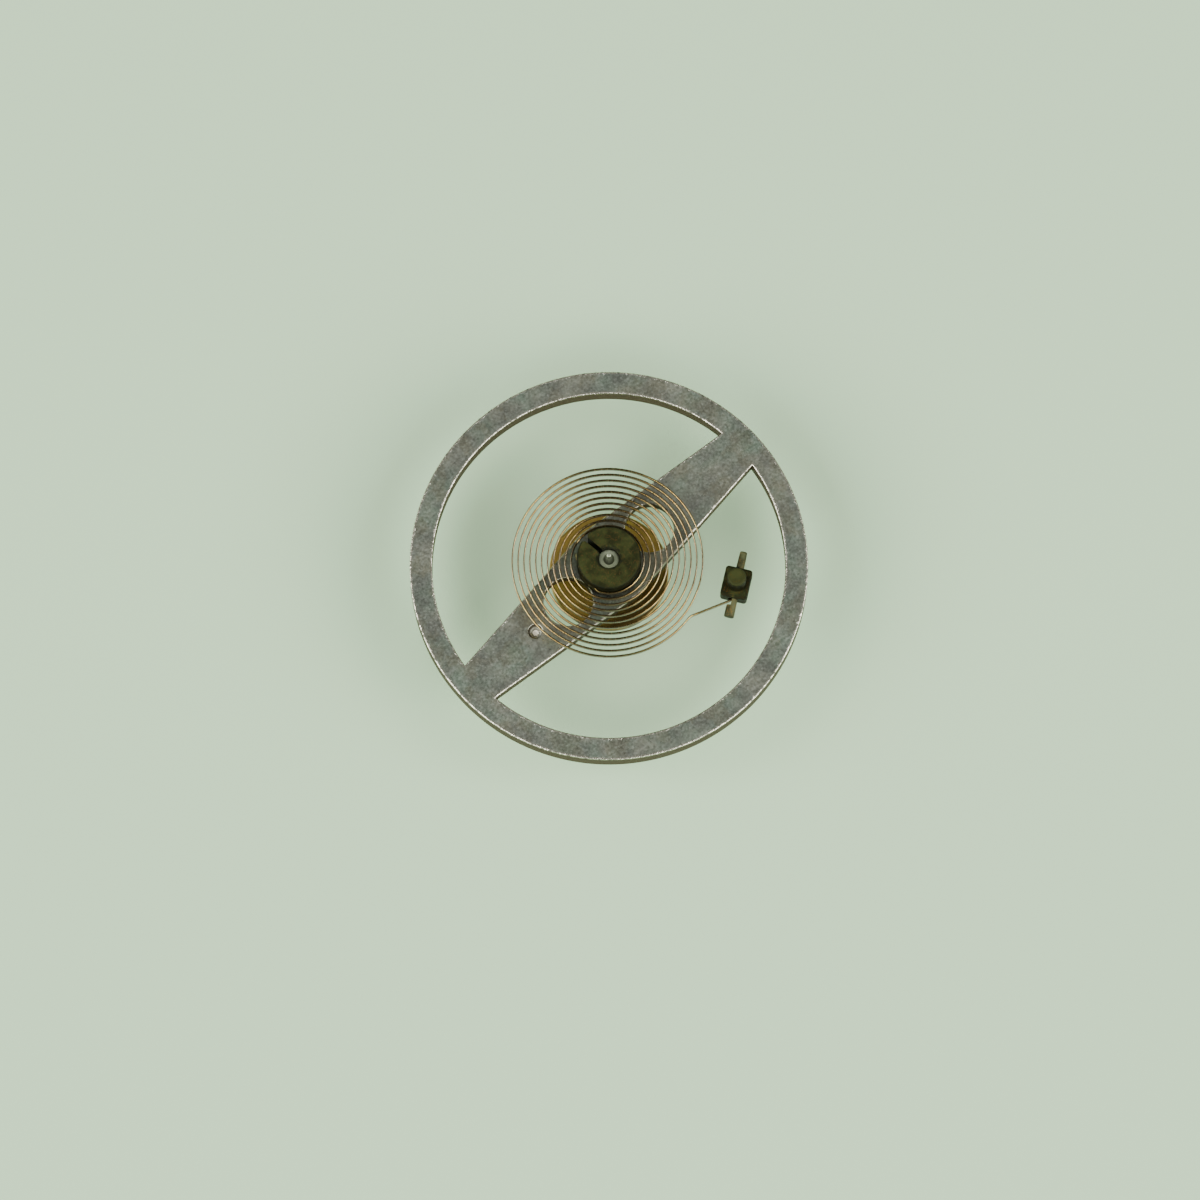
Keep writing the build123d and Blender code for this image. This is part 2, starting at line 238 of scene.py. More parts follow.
def broken(corners, closed=False):
    """Profile points of radius, height and wear from corners of radius, height and break."""
    points = []
    last = len(corners) - 1
    for i, (radius, height, width) in enumerate(corners):
        here = Vector((radius, height))
        if width == 0 or (not closed and i in (0, last)):
            points.append((radius, height, 0.0))
            continue
        before = Vector(corners[i - 1][:2]) - here
        after = Vector(corners[(i + 1) % len(corners)][:2]) - here
        start, stop = (
            here + way.normalized() * min(width, way.length * MOST_FOR_BREAK) for way in (before, after)
        )
        far_start, far_stop = (
            here + way.normalized() * min(width + WEAR_SPREAD, way.length * MOST_FOR_WEAR)
            for way in (before, after)
        )
        points.append((*far_start, 0.0))
        for step in range(ROUND_STEPS + 1):
            share = step / ROUND_STEPS
            on = start.lerp(here, share).lerp(here.lerp(stop, share), share)
            points.append((*on, 1.0))
        points.append((*far_stop, 0.0))
    return points


def circle(radius, height, count, centre=(0, 0)):
    """Points of a level circle."""
    turns = [2 * math.pi * i / count for i in range(count)]
    return [(centre[0] + radius * math.cos(t), centre[1] + radius * math.sin(t), height) for t in turns]


def turned(profile, count):
    """A shape turned about the staff's axis from profile points."""
    shape = Shape()
    rings = []
    for radius, height, wear in profile:
        points = [(0, 0, height)] if radius < WELD else circle(radius, height, count)
        rings.append(shape.ring(points, wear))
    for low, high in zip(rings, rings[1:]):
        if len(low) == 1:
            shape.fan(high, low[0])
        elif len(high) == 1:
            shape.fan(low, high[0])
        else:
            shape.bridge(low, high)
    return shape


# %% [markdown]
# The balance wheel is one piece of brass, plated with nickel: a plain rim and a bar across it, widest at
# the hub. It could be a boolean of a ring and a bar, but their tops lie in one plane, which is where
# booleans go wrong. So its outlines are worked out, each as a function of an inset into the metal, and the
# same outline at several insets and heights gives the walls and their broken edges. The flat faces are then
# filled between the loops.

# %% Outlines of the wheel
rim_width = 0.57
arm_thickness = 0.38
arm_bottom = arm_top - arm_thickness
arm_hub_half_width = 1.058
arm_end_half_width = 0.565
rim_inner_radius = rim_radius - rim_width
arm_run = math.sqrt(rim_inner_radius**2 - arm_end_half_width**2)
arm_slope = (arm_hub_half_width - arm_end_half_width) / arm_run
ARC_STEPS = 120
END_STEPS = 10
LINE_STEPS = 40


def window_corner(inset=0.0):
    """Where the bar's edge meets the rim's inner wall, for an outline moved into the metal."""
    radius = rim_inner_radius + inset
    start = arm_hub_half_width - inset * math.hypot(1, arm_slope)
    square = 1 + arm_slope**2
    root = math.sqrt((start * arm_slope) ** 2 - square * (start**2 - radius**2))
    x = (start * arm_slope + root) / square
    return x, start - arm_slope * x, start


def window_outline(side, inset=0.0):
    """The opening between bar and rim on one side, as an arc and two straight edges."""
    x, y, start = window_corner(inset)
    radius = rim_inner_radius + inset
    turn = math.atan2(y, x)
    points = []
    for i in range(ARC_STEPS + 1):
        angle = turn + (math.pi - 2 * turn) * i / ARC_STEPS
        points.append((radius * math.cos(angle), side * radius * math.sin(angle)))
    for i in range(1, LINE_STEPS):
        share = 2 * i / LINE_STEPS - 1
        points.append((x * share, side * (start - arm_slope * x * abs(share))))
    return points


def inner_circle(inset=0.0):
    """The rim's whole inner wall, with the same points as the two openings where they touch it."""
    x, y = window_corner()[:2]
    turn = math.atan2(y, x)
    upper = window_outline(1)[: ARC_STEPS + 1]
    lower = window_outline(-1)[: ARC_STEPS + 1][::-1]
    ends = [turn - 2 * turn * i / END_STEPS for i in range(1, END_STEPS)]
    left = [(-rim_inner_radius * math.cos(a), rim_inner_radius * math.sin(a)) for a in ends]
    right = [(rim_inner_radius * math.cos(a), -rim_inner_radius * math.sin(a)) for a in ends]
    share = (rim_inner_radius + inset) / rim_inner_radius
    return [(x * share, y * share) for x, y in upper + left + lower + right]


def disc_outline(radius, count, centre=(0, 0), solid=True):
    """A circle as a function of the inset, which shrinks a solid disc and widens a hole."""
    sign = -1 if solid else 1
    return lambda inset=0.0: [p[:2] for p in circle(radius + sign * inset, 0, count, centre)]


print(f"bar {2 * arm_hub_half_width:.2f} mm wide at the hub and {2 * arm_end_half_width:.2f} mm at the rim")

# %% [markdown]
# One table of inset, drop and wear serves every broken edge of a plate: it starts on the open face, rounds
# the edge in a quarter turn and ends on the wall. A helper rounds both edges of a wall, and another lays a
# wall with sharp edges for the bores, which fit closely round the piece inside them.

# %% Walls and their edges
def at(outline, height):
    """A flat outline lifted to a height."""
    return [(x, y, height) for x, y in outline]


def edge_steps(width):
    """Inset, drop and wear from the open face, round an edge and down to the wall."""
    steps = [(width + WEAR_SPREAD, 0.0, 0.0)]
    for i in range(ROUND_STEPS + 1):
        turn = math.pi / 2 * i / ROUND_STEPS
        steps.append((width * (1 - math.sin(turn)), width * (1 - math.cos(turn)), 1.0))
    steps.append((0.0, width + WEAR_SPREAD, 0.0))
    return steps


def rounded_rim(shape, outline, level, width, upward=1):
    """Lays the loops of one edge of a flat face. Gives the loop on the face and the last one on the wall."""
    loops = [
        shape.ring(at(outline(inset), level - upward * drop), wear)
        for inset, drop, wear in edge_steps(width)
    ]
    shape.skin(loops)
    return loops[0], loops[-1]


def plate_wall(shape, outline, top, bottom, top_edge, low_edge):
    """Lays a wall with both edges rounded. Gives the loops on the upper and the lower face."""
    top_face, wall_top = rounded_rim(shape, outline, top, top_edge)
    low_face, wall_low = rounded_rim(shape, outline, bottom, low_edge, -1)
    shape.bridge(wall_top, wall_low)
    return top_face, low_face


def plain_wall(shape, outline, top, bottom):
    """Lays a wall with sharp edges. Gives its upper and its lower loop."""
    upper = shape.ring(at(outline(), top))
    lower = shape.ring(at(outline(), bottom))
    shape.bridge(upper, lower)
    return upper, lower


# %% [markdown]
# The bar has two round holes beside the hub, which lighten it, and one shallow pit, where a drill took
# metal away to poise the wheel. The pit is part of the same mesh, so that its edge and the drill's cone are
# real. The wear does more than mark edges here: above 1 it paints a highlight and below 0 it paints shade.
# One long edge beside the hub gets a painted highlight, a bright line, and the pit gets painted shade round
# its foot and a painted highlight on one side of its cone and at its tip.

# %% The openings beside the bar
wheel_edge = 0.03
# Within this reach of the axis, one edge of the bar carries a painted highlight
highlight_reach = 2.4
EDGE_HIGHLIGHT = 1.35


def lay_windows(shape, faces, under):
    """The openings between bar and rim, down to the level of the bar's underside."""
    for side in (1, -1):
        face, wall = rounded_rim(shape, lambda inset: window_outline(side, inset), arm_top, wheel_edge)
        foot = shape.ring(at(window_outline(side), arm_bottom))
        shape.bridge(wall, foot)
        faces.append(face)
        under.append(foot)
    # The edge beside the hub on one side gets a painted highlight: its wear is raised above 1
    for n, (x, y, _) in enumerate(shape.points):
        if shape.wear[n] == 1.0 and -arm_hub_half_width < y < 0 and abs(x) < highlight_reach:
            shape.wear[n] = EDGE_HIGHLIGHT


# %% The round holes
arm_hole_radius = 0.62
arm_hole_distance = 1.39
rivet_post_radius = 0.40
hole_edge = 0.018
HOLE_STEPS = 96


def lay_holes(shape, faces, under):
    """The two round holes in the bar and the staff's hole."""
    for side in (1, -1):
        hole = disc_outline(arm_hole_radius, HOLE_STEPS, (side * arm_hole_distance, 0), solid=False)
        face, under_face = plate_wall(shape, hole, arm_top, arm_bottom, hole_edge, hole_edge)
        faces.append(face)
        under.append(under_face)
    bore = disc_outline(rivet_post_radius, HOLE_STEPS, solid=False)
    bore_top, bore_low = plain_wall(shape, bore, arm_top, arm_bottom)
    faces.append(bore_top)
    under.append(bore_low)


# %% The poising pit
poising_pit = {"radius": 0.18, "depth": 0.10, "cone": 0.06, "place": (-2.51, 0.0)}
# The heading of the pit's painted highlight
highlight_heading = math.radians(-88.0)
PIT_STEPS = 64
PIT_RING_SHARE = 0.12
PIT_EDGE_WEAR = 0.3
# Wear that paints shade in the pit (below 0) and highlights (above 1)
PIT_SHADE = -1.0
CONE_SHADE = -0.75
CONE_HIGHLIGHT = 0.35
TIP_HIGHLIGHT = 2.9


def lay_pit(shape):
    """The pit with the drill's cone at its bottom, with painted shade and highlights. Gives the loop on the
    bar's face.
    """
    pit = disc_outline(poising_pit["radius"], PIT_STEPS, poising_pit["place"], solid=False)
    first = len(shape.points)
    face, wall = rounded_rim(shape, pit, arm_top, hole_edge)
    for n in range(first, len(shape.points)):
        shape.wear[n] *= PIT_EDGE_WEAR
    level = arm_top - poising_pit["depth"]
    # Painted shade round the pit's foot
    foot = shape.ring(at(pit(), level), PIT_SHADE)
    inside = PIT_RING_SHARE * poising_pit["radius"]
    cone_rim = shape.ring(at(pit(-inside), level - PIT_RING_SHARE * poising_pit["cone"]))
    # A painted highlight on one side of the cone, painted shade on the rest
    for i, n in enumerate(cone_rim):
        off_heading = 2 * math.pi * i / len(cone_rim) - highlight_heading
        shape.wear[n] = CONE_HIGHLIGHT * math.cos(off_heading) + CONE_SHADE
    # A painted highlight at the cone's tip
    tip = shape.ring([(*poising_pit["place"], level - poising_pit["cone"])], TIP_HIGHLIGHT)
    shape.skin([wall, foot, cone_rim])
    shape.fan(cone_rim, tip[0])
    return face


# %% The whole wheel
RIM_STEPS = 256


def make_wheel():
    """Rim, bar, two round holes, the staff's hole and the drilled pit, as one closed mesh."""
    shape = Shape()
    outer = disc_outline(rim_radius, RIM_STEPS)
    top_face, rim_under = plate_wall(shape, outer, arm_top, rim_bottom, wheel_edge, wheel_edge)
    faces = [top_face]
    under = [shape.ring(at(inner_circle(), arm_bottom))]
    lay_windows(shape, faces, under)
    lay_holes(shape, faces, under)
    faces.append(lay_pit(shape))
    inner_face, inner_wall = rounded_rim(shape, inner_circle, rim_bottom, wheel_edge, -1)
    shape.bridge(inner_wall, under[0])
    shape.fill(rim_under, inner_face)
    shape.fill(*faces)
    shape.fill(*under)
    return shape


wheel = place("wheel", make_wheel(), "balance", "balance_wheel")

# %% [markdown]
# The staff is turned from one steel bar: a pivot at each end with a hollow, trumpet-shaped root, which lets
# oil stay on the pivot, then the seats for the rollers, the hub that the wheel rests on, the riveted lip
# that holds it, and the seat for the collet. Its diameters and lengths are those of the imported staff.

# %% Sizes of the staff
pivot_radius = frame["record"]["mounts"][0]["dims"]["r_mm"]
pivot_tip_break = pivot_radius * 0.55
lower_pivot_length = 0.28
upper_pivot_length = 0.26
lower_root = {"radius": 0.15, "length": 0.14}
upper_root = {"radius": 0.14, "length": 0.24}
safety_seat_radius = 0.22
table_seat_radius = 0.25
hub_back = {"radius": 0.46, "height": 0.12}
rivet_lip = {"radius": 0.48, "height": 0.05, "break": 0.02}
collet_shoulder_radius = 0.34
collet_seat_radius = 0.262
collet_seat_break = 0.03
fine_break = 0.012
lower_pivot_top = lower_pivot_length
lower_root_top = lower_pivot_top + lower_root["length"]
upper_pivot_bottom = staff_top - upper_pivot_length
seat_top = upper_pivot_bottom - upper_root["length"]
print(f"pivots {2 * pivot_radius:.2f} mm thick, collet seat {2 * collet_seat_radius:.2f} mm")

# %% The staff
STAFF_STEPS = 128
TRUMPET_STEPS = 10


def trumpet(radius, height, end_radius, end_height):
    """The hollow root of a pivot, which leaves the pivot along its side and widens in one arc."""
    out, rise = end_radius - radius, end_height - height
    bend = (out**2 + rise**2) / (2 * out)
    full = math.asin(min(1.0, abs(rise) / bend))
    turns = [full * i / TRUMPET_STEPS for i in range(1, TRUMPET_STEPS)]
    way = math.copysign(1, rise)
    return [(radius + bend * (1 - math.cos(t)), height + way * bend * math.sin(t), 0.0) for t in turns]


def make_staff():
    """The staff's whole profile, from the lower pivot's tip to the upper one's."""
    lip_top = arm_top + rivet_lip["height"]
    lower = [
        (0, staff_bottom, 0),
        (pivot_radius, staff_bottom, pivot_tip_break),
        (pivot_radius, lower_pivot_top, 0),
        *trumpet(pivot_radius, lower_pivot_top, lower_root["radius"], lower_root_top),
        (lower_root["radius"], lower_root_top, 0),
        (safety_seat_radius, safety_bottom, fine_break),
        (safety_seat_radius, safety_top, 0),
        (table_seat_radius, safety_top, 0),
        (table_seat_radius, table_top, 0),
        (hub_back["radius"], table_top, fine_break),
        (hub_radius, table_top + hub_back["height"], fine_break),
        (hub_radius, arm_bottom, fine_break),
        (rivet_post_radius, arm_bottom, 0),
    ]
    upper = [
        (rivet_post_radius, arm_top, 0),
        (rivet_lip["radius"], arm_top, 0),
        (rivet_post_radius, lip_top, rivet_lip["break"]),
        (collet_shoulder_radius, lip_top, 0),
        (collet_shoulder_radius, collet_bottom, fine_break),
        (collet_seat_radius, collet_bottom, 0),
        (collet_seat_radius, seat_top, collet_seat_break),
        (upper_root["radius"], seat_top, 0),
        *trumpet(pivot_radius, upper_pivot_bottom, upper_root["radius"], seat_top)[::-1],
        (pivot_radius, upper_pivot_bottom, 0),
        (pivot_radius, staff_top, pivot_tip_break),
        (0, staff_top, 0),
    ]
    return turned(broken(lower + upper), STAFF_STEPS)


staff = place("staff", make_staff(), "balance", "balance_staff")

# %% [markdown]
# Below the wheel sit the two rollers. The table carries the impulse jewel, which the lever's fork pushes at
# every beat, and the small safety roller has a hollow, the crescent, where the lever's dart slips past. With
# a D-shaped hole in one and a bite out of the other, turning a profile wouldn't do, so both are built as the
# wheel is, from outlines at several insets. Places in the plane are easy to turn and shift when they are
# complex numbers.

# %% Outlines of the jewel and the safety roller
jewel_radius = 0.14
jewel_flat_offset = 0.06
jewel_edge_inset = 0.36
jewel_distance = table_radius - jewel_edge_inset
jewel_angle = math.radians(45.0)
crescent_radius = 0.20
crescent_distance = safety_radius + 0.07
JEWEL_STEPS = 40
SAFETY_STEPS = 120
CRESCENT_STEPS = 32


def unit(angle):
    """A direction in the plane as a complex number."""
    return complex(math.cos(angle), math.sin(angle))


def pairs(numbers):
    """Complex numbers as pairs of x and y."""
    return [(p.real, p.imag) for p in numbers]


def jewel_outline(growth=0.0):
    """The D-shaped outline of the jewel with its flat facing out, as a function of the inset."""

    def outline(inset=0.0):
        radius = jewel_radius + growth - inset
        turn = math.acos((jewel_flat_offset + growth - inset) / radius)
        angles = [turn + 2 * (math.pi - turn) * i / JEWEL_STEPS for i in range(JEWEL_STEPS + 1)]
        return pairs((jewel_distance + radius * unit(a)) * unit(jewel_angle) for a in angles)

    return outline


def crescent_outline(inset=0.0):
    """The safety roller's outline: a circle with the crescent taken out, in line with the jewel."""
    radius, hollow, apart = safety_radius - inset, crescent_radius + inset, crescent_distance
    half = math.acos((radius**2 + apart**2 - hollow**2) / (2 * radius * apart))
    turn = math.acos((hollow**2 + apart**2 - radius**2) / (2 * hollow * apart))
    rim_span = 2 * math.pi - 2 * half
    rim_angles = [jewel_angle + half + rim_span * i / SAFETY_STEPS for i in range(SAFETY_STEPS + 1)]
    far_side = jewel_angle + math.pi
    dent_angles = [far_side + turn - 2 * turn * i / CRESCENT_STEPS for i in range(1, CRESCENT_STEPS)]
    rim = [radius * unit(a) for a in rim_angles]
    return pairs(rim + [apart * unit(jewel_angle) + hollow * unit(a) for a in dent_angles])


print(f"jewel {jewel_distance:.2f} mm from the axis, at {math.degrees(jewel_angle):.0f} degrees")

# %% Rollers
table_bottom = table_top - 0.20
table_collar_radius = 0.44
roller_edge = 0.03
jewel_clearance = 0.005
TABLE_STEPS = 192


def make_table():
    """The table with its collar below, its bore and the D-shaped hole for the jewel."""
    shape = Shape()
    outer = disc_outline(table_radius, TABLE_STEPS)
    top_face, low_face = plate_wall(shape, outer, table_top, table_bottom, roller_edge, roller_edge)
    hole_top, hole_low = plain_wall(shape, jewel_outline(jewel_clearance), table_top, table_bottom)
    bore = disc_outline(table_seat_radius, HOLE_STEPS, solid=False)
    bore_top, bore_low = plain_wall(shape, bore, table_top, safety_top)
    collar = disc_outline(table_collar_radius, HOLE_STEPS)
    collar_root = shape.ring(at(collar(), table_bottom))
    collar_face, collar_wall = rounded_rim(shape, collar, safety_top, fine_break, -1)
    shape.bridge(collar_root, collar_wall)
    shape.fill(top_face, hole_top, bore_top)
    shape.fill(low_face, hole_low, collar_root)
    shape.fill(collar_face, bore_low)
    return shape


def make_safety_roller():
    """The small roller, bored for its seat."""
    shape = Shape()
    edges = (fine_break, fine_break)
    top_face, low_face = plate_wall(shape, crescent_outline, safety_top, safety_bottom, *edges)
    bore = disc_outline(safety_seat_radius, HOLE_STEPS, solid=False)
    bore_top, bore_low = plain_wall(shape, bore, safety_top, safety_bottom)
    shape.fill(top_face, bore_top)
    shape.fill(low_face, bore_low)
    return shape


table = place("roller_disc", make_table(), "balance", "roller_table")
safety = place("small_roller", make_safety_roller(), "balance", "safety_roller")

# %% [markdown]
# The impulse jewel is a synthetic ruby pin of D-shaped section. A drop of shellac, melted over its foot,
# holds it, so the bead is a little uneven: its radius swells and shrinks round the drop. Sculpting it would
# do as well, but a formula gives the same drop each time.

# %% Jewel and shellac
jewel_foot_break = 0.006
shellac_radius = 0.22
shellac_swell = 0.06
shellac_bulge = 0.7
shellac_phase = 0.6
SHELLAC_RINGS = 9
SHELLAC_STEPS = 64


def make_jewel():
    """The jewel's prism with its ends broken."""
    shape = Shape()
    breaks = (jewel_foot_break, fine_break)
    top_face, low_face = plate_wall(shape, jewel_outline(), table_top, jewel_bottom, *breaks)
    shape.fill(top_face)
    shape.fill(low_face)
    return shape


def make_shellac():
    """A low uneven dome over the jewel's foot."""
    low, high = heights("jewel_shellac")
    centre = jewel_distance * unit(jewel_angle)
    shape = Shape()
    rings = []
    for step in range(SHELLAC_RINGS):
        turn = math.pi / 2 * step / SHELLAC_RINGS
        height = low + (high - low) * math.sin(turn)
        points = []
        for x, y, z in circle(math.cos(turn) ** shellac_bulge, height, SHELLAC_STEPS):
            angle = math.atan2(y, x)
            lobes = math.sin(3 * angle + shellac_phase) * math.cos(2 * angle)
            radius = shellac_radius * (1 - shellac_swell * (1 + lobes) / 2)
            points.append((centre.real + x * radius, centre.imag + y * radius, z))
        rings.append(shape.ring(points))
    shape.skin(rings)
    tip = shape.ring([(centre.real, centre.imag, high)])
    shape.fan(rings[-1], tip[0])
    shape.fill(rings[0])
    return shape


jewel = place("jewel", make_jewel(), "balance", "impulse_jewel")
shellac = place("shellac", make_shellac(), "balance", "jewel_shellac")

# %% [markdown]
# The collet is a split brass ring that grips the staff by its own spring. A ring with a slot is a profile
# carried round almost a full turn. The slot has parallel sides, so each point of the profile stops at its
# own angle: the sine of that angle is half the slot over the point's radius. At the outside the slot opens
# in a small flare. The level hole for the spring's inner end crosses the ring along a chord, which is a job
# for a boolean.

# %% The collet
collet_edge = 0.05
slot_half_width = 0.055
slot_angle = math.radians(97.4)
flare_from = collet_radius - 0.07
collet_pin_angle = math.radians(161.4)
chord_heading = collet_pin_angle + math.pi / 2
collet_chord = collet_radius - 0.20
collet_spring_offset = 0.04
collet_hole_radius = 0.100
collet_hole_centre = (collet_chord + collet_spring_offset) * unit(collet_pin_angle)
COLLET_STEPS = 180
ROD_STEPS = 48


def make_collet():
    """The ring carried from one side of its slot round to the other, with both ends closed."""
    corners = [
        (collet_seat_radius, collet_bottom, fine_break),
        (flare_from, collet_bottom, 0),
        (collet_radius, collet_bottom, collet_edge),
        (collet_radius, collet_top, collet_edge),
        (flare_from, collet_top, 0),
        (collet_seat_radius, collet_top, collet_edge),
    ]
    shape = Shape()
    rows = []
    for radius, height, wear in broken(corners, closed=True):
        opening = slot_half_width + max(0.0, radius - flare_from)
        gap = math.asin(opening / radius)
        around = 2 * math.pi - 2 * gap
        angles = [slot_angle + gap + around * i / COLLET_STEPS for i in range(COLLET_STEPS + 1)]
        rows.append(shape.ring(at(pairs(radius * unit(a) for a in angles), height), wear))
    shape.skin(rows + rows[:1], closed=False)
    for end in (0, -1):
        shape.faces.append([row[end] for row in rows])
    return shape


def level_circle(middle, side, radius, flat=math.inf):
    """A circle round a level line, cut off on one side where a flat is filed."""
    points = []
    for i in range(ROD_STEPS):
        turn = 2 * math.pi * i / ROD_STEPS
        p = middle + side * min(radius * math.cos(turn), flat)
        points.append((p.real, p.imag, spring_level + radius * math.sin(turn)))
    return points


def rod(centre, heading, radius, length):
    """A plain level cylinder along a heading, as a cutter."""
    side, half = unit(heading + math.pi / 2), unit(heading) * length / 2
    return tube([(level_circle(end, side, radius), 0.0) for end in (centre - half, centre + half)])


collet_hole = rod(collet_hole_centre, chord_heading, collet_hole_radius, 4 * collet_radius)
collet_mesh = carved(make_collet().mesh("collet"), collet_hole.mesh("hole"))
collet = place("split_collet", collet_mesh, "balance", "collet")

# %% [markdown]
# The hairspring is a flat strip of about eleven turns. Its middle line is a chain of tangent arcs: each half
# turn has its centre a quarter of a pitch to one side, so the line grows by half a pitch without a kink. At
# the inside it bends into the collet's hole and at the outside an elbow leads it to the stud. Points are
# kept with their length along the spring, because the strip's colour follows that length.

# %% Sizes of the spring and the stud
spring_thickness = 0.04
spring_pitch = 0.1474
spring_collet_gap = 0.002
spring_first_radius = collet_radius + spring_thickness / 2 + spring_collet_gap
spring_start_angle = math.radians(204.1)
spring_half_turns = 22
inner_bend_radius = 0.18
inner_tail = 0.40
elbow_radius = 0.30
elbow_heading = math.radians(-20.9)
stud_bend_radius = 0.06
stud_bend_gap = 0.01
outer_tail = 0.02
stud_angle = math.radians(-53.6)
stud_twist = math.radians(-2.3)
stud_centre = 3.24 * unit(stud_angle)
stud_radial_width = 0.68
stud_tangent_width = 0.78
stud_spring_offset = 0.05
stud_heading = stud_angle + stud_twist + math.pi / 2
stud_tangent = stud_bend_radius * math.tan((stud_heading - elbow_heading) / 2)
stud_entry = stud_tangent_width / 2 + stud_bend_gap
print(f"first turn of {spring_first_radius:.3f} mm radius, stud at {abs(stud_centre):.2f} mm")

# %% Arcs and straight stretches
TURN_STEP = math.radians(3.0)
BEND_STEP = math.radians(9.0)
STRAIGHT_STEPS = 8


def dot(a, b):
    """The scalar product of two directions written as complex numbers."""
    return (a.conjugate() * b).real


def arc(centre, radius, start, stop, step=TURN_STEP):
    """Points and headings along an arc, without its last point."""
    count = max(2, math.ceil(abs(stop - start) / step))
    way = math.copysign(math.pi / 2, stop - start)
    angles = [start + (stop - start) * i / count for i in range(count)]
    return [(centre + radius * unit(a), unit(a + way)) for a in angles]


def straight(start, stop):
    """Points and headings along a straight stretch, without its last point."""
    way = (stop - start) / abs(stop - start)
    return [(start + (stop - start) * i / STRAIGHT_STEPS, way) for i in range(STRAIGHT_STEPS)]


def touch(offset_point, way, centre, reach_to):
    """How far back along a direction a circle that follows a line first touches another circle."""
    gap = offset_point - centre
    return dot(gap, way) - math.sqrt(dot(gap, way) ** 2 - abs(gap) ** 2 + reach_to**2)


# %% The spring's middle line
def inner_line(centre, radius):
    """The tail in the collet and the bend out to the first turn. Gives where that turn starts too."""
    chord_way = unit(chord_heading)
    foot = (collet_chord - inner_bend_radius) * unit(collet_pin_angle)
    bend_centre = foot - chord_way * touch(foot, chord_way, centre, radius - inner_bend_radius)
    out = bend_centre - centre
    start = math.atan2(out.imag, out.real) % (2 * math.pi)
    bend_from = bend_centre + inner_bend_radius * unit(collet_pin_angle)
    chord_foot = collet_chord * unit(collet_pin_angle)
    tail_from = bend_from - chord_way * (abs(bend_from - chord_foot) + inner_tail)
    line = straight(tail_from, bend_from)
    return line + arc(bend_centre, inner_bend_radius, collet_pin_angle, start, BEND_STEP), start


def outer_line(centre, radius, start):
    """The rest of the last turn, the elbow that touches it, the straight stretch and the line in the stud."""
    quarter = math.pi / 2
    forward, outward = unit(stud_heading), unit(elbow_heading)
    line_point = stud_centre + stud_spring_offset * unit(stud_heading + quarter)
    corner = line_point - forward * (stud_entry + stud_tangent)
    right = unit(elbow_heading - quarter)
    offset_point = corner + right * elbow_radius
    elbow_centre = offset_point - outward * touch(offset_point, outward, centre, radius + elbow_radius)
    out = elbow_centre - centre
    end = math.atan2(out.imag, out.real)
    straight_to = corner - outward * stud_tangent
    bend_middle = straight_to + stud_bend_radius * unit(elbow_heading + quarter)
    tail_to = line_point + forward * (stud_tangent_width / 2 + outer_tail)
    line = arc(centre, radius, start, start + (end - start) % (2 * math.pi))
    line += arc(elbow_centre, elbow_radius, end + math.pi, elbow_heading + quarter, BEND_STEP)
    line += straight(elbow_centre - right * elbow_radius, straight_to)
    line += arc(bend_middle, stud_bend_radius, elbow_heading - quarter, stud_heading - quarter, BEND_STEP)
    return line + straight(corner + forward * stud_tangent, tail_to) + [(tail_to, forward)]


def spring_line():
    """The whole middle line, with its half turns centred to one side and the other in turn."""
    shift = spring_pitch / 4 * unit(spring_start_angle)
    radius = spring_first_radius + spring_pitch / 4
    side = -1
    line, start = inner_line(side * shift, radius)
    for half_turn in range(spring_half_turns):
        stop = spring_start_angle + math.pi * (half_turn + 1)
        line += arc(side * shift, radius, start, stop)
        radius += spring_pitch / 2
        side = -side
        start = stop
    return line + outer_line(side * shift, radius, start)


spring_path = spring_line()
spring_steps = [abs(b[0] - a[0]) for a, b in zip(spring_path, spring_path[1:])]
spring_lengths = np.concatenate([[0.0], np.cumsum(spring_steps)])
print(f"spring: {len(spring_path)} places, {spring_lengths[-1]:.2f} mm long")

# %% [markdown]
# The strip is rolled flat and its narrow edges are ground, so its four corners are barely round. That small
# round decides how the coils look from above: the flat top mirrors the dim space overhead and stays dark,
# and where the strip runs across the light its corners shine. The section is a rectangle with round
# corners, carried along the line.

# %% The hairspring
CORNER_POINTS = 5
strip_corner_radius = 0.015


def rounded_rectangle(half_width, half_height, radius, steps):
    """Points of a rectangle with round corners about its middle, as complex numbers."""
    points = []
    for corner, (to_right, up) in enumerate(((1, 1), (-1, 1), (-1, -1), (1, -1))):
        middle = complex(to_right * (half_width - radius), up * (half_height - radius))
        points += [middle + radius * unit(math.pi / 2 * (corner + i / steps)) for i in range(steps + 1)]
    return points


strip_section = rounded_rectangle(
    spring_thickness / 2, (spring_top - spring_bottom) / 2, strip_corner_radius, CORNER_POINTS
)


def make_hairspring():
    """The section carried along the middle line, closed at both ends."""
    rows = []
    for middle, way in spring_path:
        across = [middle + way * 1j * p.real for p in strip_section]
        points = [(a.real, a.imag, spring_level + p.imag) for a, p in zip(across, strip_section)]
        rows.append((points, 0.0))
    return tube(rows)


hairspring_mesh = make_hairspring().mesh("hairspring")
shares = np.repeat(spring_lengths / spring_lengths[-1], len(strip_section))
hairspring_mesh.attributes.new("along", "FLOAT", "POINT").data.foreach_set("value", shares)
hairspring = place("coiled_hairspring", hairspring_mesh, None, "hairspring")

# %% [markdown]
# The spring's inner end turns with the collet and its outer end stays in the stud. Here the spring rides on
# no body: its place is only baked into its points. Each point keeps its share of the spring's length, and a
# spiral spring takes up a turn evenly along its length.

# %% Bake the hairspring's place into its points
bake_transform(hairspring)
print(f"shares of the stud: {shares.min():.2f} at the collet, {shares.max():.2f} in the stud")

